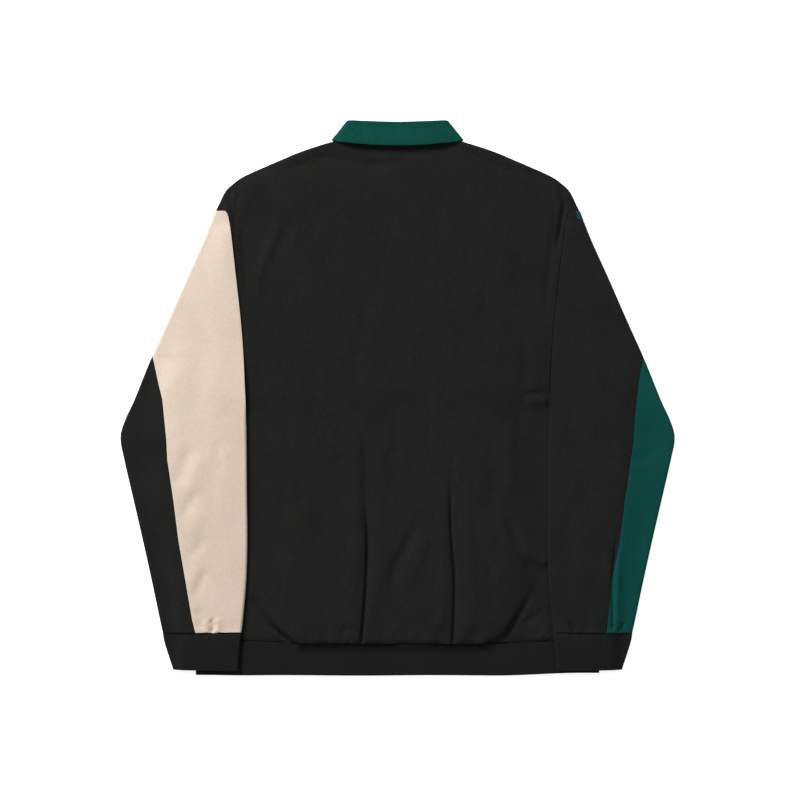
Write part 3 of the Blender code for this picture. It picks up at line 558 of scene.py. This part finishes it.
# outer fold x, y | inner end of the upper layer x, y | inner end of the lower layer x, y
SLEEVE = [
    (237.0, 243.4, 224.0, 243.6, 230.8, 231.0),
    (251.5, 206.0, 215.0, 205.0, 233.5, 204.0),
    (275.0, 154.0, 209.3, 157.0, 241.2, 154.0),
    (297.7, 102.0, 203.5, 107.0, 251.8, 102.0),
    (321.0, 50.0, 199.9, 57.0, 264.0, 50.0),
    (342.0, -2.0, 197.4, 6.0, 278.5, -3.0),
    (354.0, -28.0, 196.6, -20.0, 248.0, -13.0),
    (360.0, -51.0, 196.0, -43.0, 206.0, -14.0),
    (355.0, -80.0, 195.7, -75.0, 195.7, -70.0),
    (343.0, -132.0, 195.3, -130.0, 195.3, -130.0),
    (331.0, -184.0, 194.7, -184.0, 194.7, -184.0),
    (319.5, -236.0, 196.3, -238.0, 196.3, -238.0),
    (309.0, -286.0, 200.5, -286.0, 200.5, -286.0),
    (305.0, -304.0, 202.5, -303.0, 202.5, -303.0),
]
# where the panels meet on the upper face: y | x on the cream side | x on the green side
SLEEVE_SEAM = [(58.0, 319.5, 319.5), (50.0, 317.0, 318.2), (24.0, 311.4, 313.2),
               (-2.0, 304.9, 310.0), (-28.0, 302.3, 307.5), (-54.0, 299.7, 306.0),
               (-80.0, 298.4, 302.3), (-132.0, 290.6, 294.5), (-184.0, 284.0, 288.0),
               (-236.0, 275.0, 277.6), (-288.0, 266.0, 272.4), (-304.0, 262.0, 271.0)]
# and at the very top of the green side, where a corner of it shows: y | x
TIP_GAP = 0.05
GREEN_TIP = [(229.5, 243.0), (234.0, 233.0), (246.0, 231.8)]
# creases on the upper face, as on the back; x from the body's middle outwards
CREAM_CREASES = [
    (1.6, 3.2, 0.2, 0.02, [(243, -286), (239, -294), (240.5, -303)]),
    (-1.0, 3.6, 0.3, 0.05, [(236, -284), (232, -294), (233, -303)]),
    (-0.8, 4.0, 0.3, 0.05, [(250, -286), (248, -296), (247, -303)]),
    (1.2, 10.0, 0.3, 0.3, [(264, -58), (276, -84), (284, -104), (296, -116)]),
    (-0.9, 12.0, 0.3, 0.3, [(248, -62), (262, -96), (272, -122), (284, -134)]),
    (1.0, 8.0, 0.3, 0.4, [(258, -112), (268, -134), (278, -150), (290, -158)]),
    (-0.8, 10.0, 0.3, 0.3, [(252, -140), (262, -164), (276, -180)]),
    (0.8, 7.0, 0.3, 0.3, [(246, -176), (258, -194), (270, -204), (280, -206)]),
    (0.9, 7.0, 0.3, 0.4, [(244, -214), (252, -232), (260, -250), (264, -268)]),
    (-0.8, 8.0, 0.3, 0.4, [(256, -214), (264, -232), (270, -250)]),
    (0.9, 6.0, 0.3, 0.2, [(262, -270), (256, -284), (256, -300)]),
    (1.0, 16.0, 0.3, 0.3, [(262, 140), (254, 60), (258, -10), (252, -60)]),
    (-0.7, 14.0, 0.3, 0.3, [(232, -40), (228, -110), (226, -190)]),
    (0.8, 7.0, 0.2, 0.2, [(236, -52), (232, -64), (234, -76), (230, -88), (234, -100)]),
]
PLAIN_CREASES = [
    (2.4, 2.6, 0.3, 0.05, [(285, -167), (281, -210), (279, -240), (279.5, -302)]),
    (-1.2, 3.6, 0.4, 0.1, [(291, -175), (287, -220), (285, -260), (285.5, -300)]),
    (1.8, 2.6, 0.4, 0.1, [(294, -288), (292, -295), (286, -303)]),
    (1.6, 2.6, 0.4, 0.1, [(222, -286), (226, -295), (229, -303)]),
    (0.7, 5.0, 0.3, 0.1, [(244, -258), (247, -284), (245, -303)]),
    (-0.7, 12.0, 0.3, 0.3, [(262, 150), (258, 60), (262, -20)]),
    (0.6, 14.0, 0.3, 0.3, [(236, -30), (240, -100), (236, -180)]),
    (0.9, 8.0, 0.3, 0.4, [(340, -66), (316, -76), (290, -80)]),
    (0.9, 9.0, 0.3, 0.3, [(230, -120), (222, -180), (226, -240)]),
]


def ground(x, y):
    """What a sleeve or cuff lies on: the body or the hem band where they are below it, else 0."""
    x, y = abs(np.asarray(x, float)), np.asarray(y, float)
    edge, run = np.array(SIDE_EDGE), np.array(BACK_ARMHOLE[:4])[::-1]
    on_body = y > HEM_SEAM_Y
    out = np.where(on_body, np.maximum(x - np.interp(y, edge[:, 1], edge[:, 0]),
                                       y - np.interp(x, run[:, 0], run[:, 1]) - 2.0), x - HEM_HALF)
    blend = ease((HEM_SEAM_Y + 22.0 - y) / 22.0)
    top = np.where(on_body, BACK_REST * (1 - blend) + BAND_TOP * blend, BAND_TOP) + SEAM_GAP
    return top * ease(1.0 - (out - HELD_UP) / RAMP)


def held_above(x, y):
    """What carries a sleeve's upper layer: the same, but it bridges the body's edge softly."""
    x, y = abs(np.asarray(x, float)), np.asarray(y, float)
    edge = np.array(SIDE_EDGE)
    beside = x - np.interp(y, edge[:, 1], edge[:, 0])
    above = (y - 6.0) * 0.7
    low_end = ease((HEM_SEAM_Y + 22.0 - y) / 22.0)
    top = BACK_REST * (1 - low_end) + BAND_TOP * low_end + SEAM_GAP
    return top * ease(1.0 - (beside - 6.0) / 56.0) * ease(1.0 - above / 56.0)


def smooth_column(values, steps):
    """A column of a table read between its rows on a smooth curve."""
    ends = np.concatenate([[2 * values[0] - values[1]], values, [2 * values[-1] - values[-2]]])
    row = np.minimum(np.floor(steps).astype(int), len(values) - 2)
    t = steps - row
    p0, p1, p2, p3 = (ends[row + k] for k in range(4))
    return 0.5 * (2 * p1 + (p2 - p0) * t + (2 * p0 - 5 * p1 + 4 * p2 - p3) * t**2
                  + (3 * p1 - p0 - 3 * p2 + p3) * t**3)


def sleeve_section(outer, inner, low, closed, puff, creases):
    """Outer face of a flattened sleeve: from its inner fold over the top to the outer fold, then
    back along underneath. closed goes from 0, where the inner edge is sewn in, to 1, a fold."""
    outer, inner, low = (np.array(p, float) for p in (outer, inner, low))
    width = np.linalg.norm(outer - inner)
    out = (outer - inner) / width
    radius = SLEEVE_STACK / 2
    points = []
    lift_in = float(ground(*inner))
    shut = ease((closed - 0.75) / 0.25)
    if shut > 0:
        reach = radius * (1 - math.cos(math.pi * (0.5 - closed))) * (1 - shut)
        plan = inner + out * (reach + (radius + TURN_UNDER) * shut)
        points.append((*plan, lift_in + radius - radius * math.sin(math.pi * (closed - 0.5))))
    begun = math.radians(90 - 180 * closed)
    shift = radius * (1 - math.cos(max(begun, 0.0)))
    for a in np.linspace(begun, math.pi / 2, 17)[:-1] if closed > 0 else []:
        plan = inner + out * (radius * (1 - math.cos(a)) - shift)
        points.append((*plan, lift_in + radius + radius * math.sin(a)))
    run = np.linspace(radius - shift, width - radius, 90)
    plan = inner + out * run[:, None]
    share = run / width
    full = puff * np.sin(math.pi * share) ** 0.8
    edge = ease(share * width / 12) * ease((1 - share) * width / 12)
    below, bridge = ground(plan[:, 0], plan[:, 1]), held_above(plan[:, 0], plan[:, 1])
    free = ease((1 - share) * width / 44)
    high = ease((235.0 - plan[:, 1]) / 25.0) * ease((plan[:, 1] - 10.0) / 90.0)
    sewn = SEWN_RISE * high * ease(1 - share)
    z = below + (bridge - below) * free + SLEEVE_STACK + full + sewn
    z = z - np.clip(creased(plan[:, 0], plan[:, 1], creases), -2.5, 2.5) * edge
    points += [tuple(p) for p in np.column_stack([plan, z])]
    base = float(ground(*outer))
    for angle in np.linspace(90, -90, 25)[1:]:
        a = math.radians(angle)
        plan = outer - out * radius * (1 - math.cos(a))
        points.append((*plan, base + radius + radius * math.sin(a)))
    fold = len(points) - 13
    turn_in = outer - out * radius
    end = low * (1 - shut) + (inner + out * (radius + TURN_UNDER + SEAM_GAP)) * shut
    plan = turn_in + (end - turn_in) * np.linspace(0, 1, 70)[1:, None]
    points += [tuple(p) for p in np.column_stack([plan, ground(plan[:, 0], plan[:, 1])])]
    return np.array(points), fold


def sleeve_panels(side, creases):
    """Grids and normals of a sleeve's two panels as if on the right."""
    table = np.array(SLEEVE, float)
    steps = np.linspace(0, len(table) - 1, 190)
    rows = np.column_stack([smooth_column(table[:, k], steps) for k in range(6)])
    armhole = joined_path([BACK_ARMHOLE[3:]], 60)
    sewn = rows[:, 3] > FOLD_TOP[1] - 4.0
    beside = np.interp(rows[:, 3], armhole[:, 1], armhole[:, 0]) + SEAM_GAP + 0.2
    rows[sewn, 2] = beside[sewn]
    closed = np.interp(steps, [0, 5, 8, len(table) - 1], [0, 0, 1, 1])
    puff = np.interp(steps, [0, 2, 7, 12, 13], [0.2, 1.2, 2.2, 2.2, 1.2])
    seam_rows = np.array(SLEEVE_SEAM)[::-1]
    seam_x = seam_rows[:, 1 if side < 0 else 2]
    lines, runs, cuts, gaps = [], [], [], []
    for row, shut, full in zip(rows, closed, puff):
        line, fold = sleeve_section(row[0:2], row[2:4], row[4:6], shut, full, creases)
        run = np.concatenate([[0], np.cumsum(np.linalg.norm(np.diff(line, axis=0), axis=1))])
        over = line[:fold + 1]
        tip = side > 0 and row[1] > GREEN_TIP[0][0]
        line_y, line_x = np.array(GREEN_TIP).T if tip else (seam_rows[:, 0], seam_x)
        past = over[:, 0] - np.interp(over[:, 1], line_y, line_x)
        beyond = np.nonzero((past > 0) & (over[:, 2] > over[-1, 2]))[0]
        at = run[fold]
        if len(beyond) and (tip or row[1] < SLEEVE_SEAM[0][0]):
            k = beyond[0]
            at = np.interp(0.0, past[k - 1:k + 1], run[k - 1:k + 1])
        lines.append(line), runs.append(run), cuts.append(at)
        gaps.append(TIP_GAP / 2 if tip else SEAM_GAP / 2)
    back, front = [], []
    for line, run, at, gap in zip(lines, runs, cuts, gaps):
        for panel, low, high, cols in ((back, 0, at - gap, 70), (front, at + gap, run[-1], 84)):
            reach = np.linspace(low, high, 500)
            dense = np.stack([np.interp(reach, run, line[:, k]) for k in range(3)], axis=1)
            panel.append(spread(dense, cols, bend_weight=8.0))
    back, front = np.array(back), np.array(front)
    whole = np.concatenate([back, front], axis=1)
    facing = -np.cross(np.gradient(whole, axis=1), np.gradient(whole, axis=0))
    facing /= np.linalg.norm(facing, axis=2)[:, :, None]
    seam = back.shape[1]
    shared = facing[:, seam - 1] + facing[:, seam]
    facing[:, seam - 1] = facing[:, seam] = shared / np.linalg.norm(shared, axis=1)[:, None]
    return (back, facing[:, :seam]), (front, facing[:, seam:])


def sleeve(side, back_look, back_slot, front_look, front_slot, creases):
    name = "left" if side < 0 else "right"
    mirror = np.array([side, 1, 1])
    panels = sleeve_panels(side, creases)
    for label, (grid, out), look, slot in (("back", panels[0], back_look, back_slot),
                                           ("front", panels[1], front_look, front_slot)):
        grid, out = grid * mirror, out * mirror
        if side > 0:
            grid, out = grid[:, ::-1], out[:, ::-1]
        piece = wall(f"{name}_sleeve_{label}", [grid], CLOTH, look, facing=out)
        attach(piece, "root")
        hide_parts(f"sleeve_{name}_{label}")
        cloth_area([grid])


CREAM = (0.584, 0.488, 0.408)
CREAM_SHADE = (0.474, 0.384, 0.308)
GREEN = (0.0040, 0.0590, 0.0510)
GREEN_SHADE = (0.0026, 0.0400, 0.0350)
cream_jersey = cloth_material("cream_sweat_jersey", CREAM, CREAM_SHADE)
green_jersey = cloth_material("green_sweat_jersey", GREEN, GREEN_SHADE)
sleeve(-1, cream_jersey, "cream_jersey", black_jersey, "black_jersey", CREAM_CREASES)
sleeve(1, black_jersey, "black_jersey", green_jersey, "green_jersey", PLAIN_CREASES)

# The hem band and the cuffs: black jersey doubled into flat tubes and sewn on under a little
# tension, so that the seam puckers. The cuffs lie over the ends of the hem band.
HEM_EDGE_Y = -359.5
# outer fold x, y | inner fold x, y
CUFF = [(305.1, -304.1, 202.4, -303.1), (302.5, -318.0, 203.8, -318.5), (291.5, -352.0, 206.5, -353.5)]
BAND_BLACK = (0.0112, 0.0112, 0.0110)
BAND_SHADE = (0.0066, 0.0066, 0.0065)
black_band = cloth_material("black_band", BAND_BLACK, BAND_SHADE, knit=0.8, rough=0.9)


def tube_section(outer, inner, base, tall, count):
    """Outer face all round a flat tube from its inner fold over the top and back underneath."""
    outer, inner = np.array(outer, float), np.array(inner, float)
    width = np.linalg.norm(outer - inner)
    out = (outer - inner) / width
    radius = tall / 2
    turn = np.linspace(0, math.pi, 16)
    flat = np.linspace(radius, width - radius, 120)
    run = np.concatenate([radius - radius * np.sin(turn), flat[1:],
                          width - radius + radius * np.sin(turn[1:]), flat[::-1][1:]])
    rise = np.concatenate([radius - radius * np.cos(turn), flat[1:] * 0 + tall,
                           radius + radius * np.cos(turn[1:]), flat[1:] * 0])
    plan = inner + out * run[:, None]
    line = np.column_stack([plan, base(plan[:, 0], plan[:, 1]) + rise])
    return spread(line, count + 1, bend_weight=9.0)[:-1]


def seam_puckers(x, y, seam_y, spacing, depth):
    """Small uneven dents beside a gathered seam, gone 12 mm from it."""
    near = np.exp(-abs(y - seam_y) / 5.0)
    wave = np.sin(x * 2 * math.pi / spacing + 1.7 * np.sin(x / 23.0)) + 0.5 * np.sin(x * 0.61 + 2.0)
    return depth * near * wave


def tube(name, node, rows, tops, side, count, puckers):
    grid = []
    for (outer, inner), tall in zip(rows, tops):
        base = (lambda x, y: x * 0.0) if side == 0 else ground
        grid.append(tube_section(outer, inner, base, tall, count))
    grid = np.array(grid)
    x, y, z = grid[:, :, 0], grid[:, :, 1], grid[:, :, 2]
    top_face = ease((z - z.min()) / 4.0) if side == 0 else ease((z - 4.0) / 4.0)
    grid[:, :, 2] = z - seam_puckers(x, y, rows[0][0][1], *puckers) * top_face
    if side == 0:
        share = (y - HEM_EDGE_Y) / (HEM_SEAM_Y - HEM_EDGE_Y)
        lifted = over_blouse(x, y * 0 + HEM_SEAM_Y) * ease((y - HEM_SEAM_Y + 14.0) / 13.0)
        lifted *= 0.75 + 0.2 * np.sin(x / 29.0 + 0.8) + 0.12 * np.sin(x / 11.0)
        grid[:, :, 2] += 4.4 * lifted * top_face
        bottom = 0.9 * ease((-x - 190.0) / 60.0) + 3.0 * ease((x - 120.0) / 120.0) + 0.3 * np.sin(x / 31)
        seam = hem_seam_y(x) * top_face + FRONT_SEAM_HIGHER * (1 - top_face)
        grid[:, :, 1] += seam * share + bottom * (1 - share)
    grid *= (side or 1, 1, 1)
    if side >= 0:
        grid = grid[:, ::-1]
    piece = wall(name, [grid], CLOTH, black_band, ring=True)
    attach(piece, "root")
    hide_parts(node)
    closed = np.concatenate([grid, grid[:, :1]], axis=1)
    cloth_area([closed])
    return piece


HEM_ROWS = np.linspace(HEM_SEAM_Y, HEM_EDGE_Y, 26)
hem_rows = [((HEM_HALF, y), (-HEM_HALF, y)) for y in HEM_ROWS]
hem_tops = [BAND_TOP - 0.5 * abs(y - (HEM_SEAM_Y + HEM_EDGE_Y) / 2) / 21.5 for y in HEM_ROWS]
tube("hem_band_tube", "hem_band", hem_rows, hem_tops, 0, 620, (17.0, 0.22))
outer_line = smooth_path([row[:2] for row in CUFF], 30)
inner_line = smooth_path([row[2:] for row in CUFF], 30)
cuff_tops = [SLEEVE_STACK - 0.5 * ease(1 - k / 5) - 0.5 * ease(1 - (29 - k) / 5) for k in range(30)]
for side, name in ((-1, "left"), (1, "right")):
    tube(f"{name}_cuff", f"cuff_{name}", list(zip(outer_line, inner_line)), cuff_tops, side, 260,
         (13.0, 0.25))

# The collar: flat-knitted green rib, stand and fall in one strip, folded along the roll line. At
# the back the fall covers the neck seam; at the front its two points lie under the front panel.
# seam x, y | roll line x, y | edge of the fall x, y | turn, degrees: 0 where the fall lies on top
COLLAR = [
    (0.0, 329.9, 0.0, 359.2, 0.0, 327.9, 0.0),
    (28.0, 330.6, 28.0, 359.8, 28.5, 328.6, 0.0),
    (54.0, 331.9, 48.0, 360.6, 56.0, 330.8, 0.0),
    (72.0, 334.2, 59.5, 361.0, 76.5, 333.0, 15.0),
    (78.6, 336.4, 63.6, 359.8, 83.6, 334.9, 90.0),
    (76.4, 330.5, 60.0, 354.0, 82.4, 329.4, 165.0),
    (75.4, 314.8, 52.0, 340.0, 88.0, 306.0, 180.0),
    (58.6, 289.6, 37.0, 317.0, 85.0, 271.0, 180.0),
    (35.0, 270.9, 19.0, 300.0, 72.0, 243.0, 180.0),
    (9.0, 264.9, 6.0, 292.0, 52.0, 222.0, 180.0),
]
COLLAR_HALF = 2.3
COLLAR_HEIGHTS = (7.85, 2.3)     # of its middle at the back and at the front
FALL_FLARE = 2.7
COLLAR_GREEN = (0.0044, 0.0660, 0.0510)
COLLAR_SHADE = (0.0018, 0.0330, 0.0250)
collar_knit = cloth_material("green_flat_knit_collar", COLLAR_GREEN, COLLAR_SHADE, knit=2.4,
                             wale=1.8, course=1.2, pile=0.5, across=True)


def collar_grid():
    table = np.array(COLLAR, float)
    table = np.vstack([table[:0:-1] * (-1, 1, -1, 1, -1, 1, 1), table])
    middle = (len(table) - 1) / 2
    steps = np.linspace(0, len(table) - 1, 260)
    rows = np.column_stack([smooth_column(table[:, k], steps) for k in range(7)])
    level_z, swing = sum(COLLAR_HEIGHTS) / 2, (COLLAR_HEIGHTS[0] - COLLAR_HEIGHTS[1]) / 2
    outer, inner = [], []
    for row, step in zip(rows, steps):
        turn = math.radians(np.clip(row[6], 0, 180))
        height = level_z + swing * math.cos(turn)
        seam, roll, fall = (np.append(row[k:k + 2], height) for k in (0, 2, 4))
        up = (roll - seam) / np.linalg.norm(roll - seam)
        level = (1 if step >= middle else -1) * np.array([up[1], -up[0], 0.0])
        facing = math.cos(turn) * np.array([0, 0, 1.0]) + math.sin(turn) * level
        bent_about = roll - up * COLLAR_HALF
        lifted = FALL_FLARE * max(math.cos(turn), 0.0) ** 2 * ease((84.0 - abs(fall[0])) / 30.0)
        flare = ease(np.linspace(0, 1, 26))[1:, None] * facing * lifted
        for side, half in ((outer, COLLAR_HALF), (inner, COLLAR_HALF - CLOTH)):
            fold = []
            for bend in np.linspace(-90, 90, 15):
                a = math.radians(bend)
                fold.append(bent_about + half * (math.cos(a) * up + math.sin(a) * facing))
            stand = np.linspace(seam - facing * half, fold[0], 16)[:-1]
            drop = np.linspace(fold[-1], fall + facing * half, 26)[1:]
            side.append(np.vstack([stand, fold, drop + flare]))
    return np.array(outer), np.array(inner)


grid, lining = collar_grid()
collar = wall("collar_rib", [grid], CLOTH, collar_knit, facing=(grid - lining) / CLOTH)
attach(collar, "root")
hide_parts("collar")
cloth_area([grid])

# The placket: two black strips down the front opening, one over the other, edge-stitched, with
# three sewn-on buttons on the one that faces the table.
PLACKET_TOP_Y = 261.0


def strip_grid(foot_y, low_z, faces_down):
    x = np.linspace(-PLACKET_HALF, PLACKET_HALF, 28)
    y = np.linspace(foot_y, PLACKET_TOP_Y, 110)
    plan_x, plan_y = np.meshgrid(x, y)
    stitched = np.exp(-((abs(plan_x) - PLACKET_HALF + 3.0) / 0.7) ** 2)
    outward = low_z + (0.0 if faces_down else CLOTH)
    z = outward + (0.25 if faces_down else -0.25) * stitched
    grid = np.dstack([plan_x, plan_y, z])
    return grid[:, ::-1] if faces_down else grid


for name, node, foot_y, low_z, faces_down in (
        ("placket_front_strip", "placket_outer", PLACKET_FOOT_Y, 1.5, True),
        ("placket_inner_strip", "placket_under", PLACKET_FOOT_Y + 3.0, 3.4, False)):
    grid = strip_grid(foot_y, low_z, faces_down)
    strip = wall(name, [grid], CLOTH, black_band, soft_edge=0.4)
    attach(strip, "root")
    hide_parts(node)

# The buttons: three four-hole buttons of dyed resin with a raised rim, face down on the table.
BUTTON_R = 5.5
BUTTON_DEEP = 1.1
BUTTON_YS = np.linspace(PLACKET_FOOT_Y + 28.0, PLACKET_TOP_Y - 14.0, 3)


def button_resin():
    look = bpy.data.materials.new("button_resin")
    look.use_nodes = True
    tree = look.node_tree
    shader = tree.nodes["Principled BSDF"]
    start = Tone(tree, None)
    at = start.node("ShaderNodeTexCoord", out=3)
    cloud = start.node("ShaderNodeTexNoise", inputs={"Vector": at, "Scale": 260.0, "Detail": 3.0})
    grain = start.node("ShaderNodeTexNoise", inputs={"Vector": at, "Scale": 1500.0, "Detail": 2.0})
    tone = cloud.mixed((0.010, 0.010, 0.010, 1), (0.022, 0.022, 0.021, 1))
    tree.links.new(tone.socket, shader.inputs["Base Color"])
    tree.links.new((cloud * 0.12 + 0.3).socket, shader.inputs["Roughness"])
    bump = start.node("ShaderNodeBump", inputs={"Strength": 0.2, "Distance": 0.00004,
                                                "Height": grain})
    tree.links.new(bump.socket, shader.inputs["Normal"])
    return look


resin = button_resin()
for k, y in enumerate(BUTTON_YS):
    bpy.ops.mesh.primitive_cylinder_add(vertices=48, radius=BUTTON_R * 0.001,
                                        depth=BUTTON_DEEP * 0.001,
                                        location=(0, y * 0.001, (BUTTON_DEEP / 2 + 0.03) * 0.001))
    button = bpy.context.object
    button.name = button.data.name = f"resin_button_{k + 1}"
    bpy.ops.object.mode_set(mode="EDIT")
    bpy.ops.mesh.select_all(action="DESELECT")
    bm = bmesh.from_edit_mesh(button.data)
    for face in bm.faces:
        face.select = face.normal.z < -0.9
    bmesh.update_edit_mesh(button.data)
    bpy.ops.mesh.inset(thickness=0.0012, depth=0.0)
    bpy.ops.mesh.inset(thickness=0.0003, depth=-0.0003)
    bpy.ops.object.mode_set(mode="OBJECT")
    rim = button.modifiers.new("rim", "BEVEL")
    rim.width, rim.segments, rim.limit_method = 0.00022, 3, "ANGLE"
    bpy.ops.object.modifier_apply(modifier=rim.name)
    for dx, dy in ((1, 1), (1, -1), (-1, 1), (-1, -1)):
        bpy.ops.mesh.primitive_cylinder_add(vertices=16, radius=0.0006, depth=0.004,
                                            location=(dx * 0.0011, y * 0.001 + dy * 0.0011, 0))
        drill = bpy.context.object
        cut = button.modifiers.new("thread hole", "BOOLEAN")
        cut.operation, cut.object = "DIFFERENCE", drill
        bpy.context.view_layer.objects.active = button
        bpy.ops.object.modifier_apply(modifier=cut.name)
        bpy.data.objects.remove(drill, do_unlink=True)
    bpy.ops.object.select_all(action="DESELECT")
    button.select_set(True)
    bpy.ops.object.transform_apply(location=True, rotation=True, scale=True)
    bpy.ops.object.shade_smooth_by_angle(angle=math.radians(35))
    button.data.materials.append(resin)
    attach(button, "root")
    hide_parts(f"button_{k + 1}")
    bpy.ops.object.select_all(action="DESELECT")

# The table, the soft light above it, and the camera looking straight down on the garment.
PHOTO_MIDDLE = (0.0032, -0.00195)
PHOTO_WIDTH = 1.04
CAMERA_LENS = 110.0
SENSOR = 36.0
LIGHT_TABLE = 0.6     # the table is lit from below, as for a cut-out shot


def table_material():
    look = bpy.data.materials.new("pale_table")
    look.use_nodes = True
    tree = look.node_tree
    shader = tree.nodes["Principled BSDF"]
    start = Tone(tree, None)
    at = start.node("ShaderNodeTexCoord", out=3)
    cloud = start.node("ShaderNodeTexNoise", inputs={"Vector": at, "Scale": 3.0, "Detail": 3.0})
    tone = cloud.mixed((0.93, 0.93, 0.93, 1), (0.96, 0.96, 0.96, 1))
    tree.links.new(tone.socket, shader.inputs["Base Color"])
    shader.inputs["Roughness"].default_value = 0.9
    shader.inputs["Specular IOR Level"].default_value = 0.1
    shader.inputs["Emission Color"].default_value = (1, 1, 1, 1)
    shader.inputs["Emission Strength"].default_value = LIGHT_TABLE
    return look


bpy.ops.mesh.primitive_plane_add(size=8.0, location=(0, 0, -0.0002))
table = bpy.context.object
table.name = "table_top"
table.data.materials.append(table_material())

camera_data = bpy.data.cameras.new("camera")
camera_data.lens, camera_data.sensor_width = CAMERA_LENS, SENSOR
camera = bpy.data.objects.new("camera", camera_data)
camera.location = (*PHOTO_MIDDLE, PHOTO_WIDTH * CAMERA_LENS / SENSOR)
bpy.context.collection.objects.link(camera)
bpy.context.scene.camera = camera


def soft_light(name, place, size, power):
    data = bpy.data.lights.new(name, "AREA")
    data.shape, data.size, data.energy = "SQUARE", size, power
    lamp = bpy.data.objects.new(name, data)
    lamp.location = place
    lamp.rotation_euler = Vector(place).to_track_quat("Z", "Y").to_euler()
    bpy.context.collection.objects.link(lamp)


soft_light("key_light", (-3.1, 4.1, 2.9), 2.0, 590.0)
world = bpy.data.worlds.new("studio")
world.use_nodes = True
world.node_tree.nodes["Background"].inputs["Color"].default_value = (1, 1, 1, 1)
world.node_tree.nodes["Background"].inputs["Strength"].default_value = 0.55
bpy.context.scene.world = world
bpy.context.scene.view_settings.view_transform = "Standard"
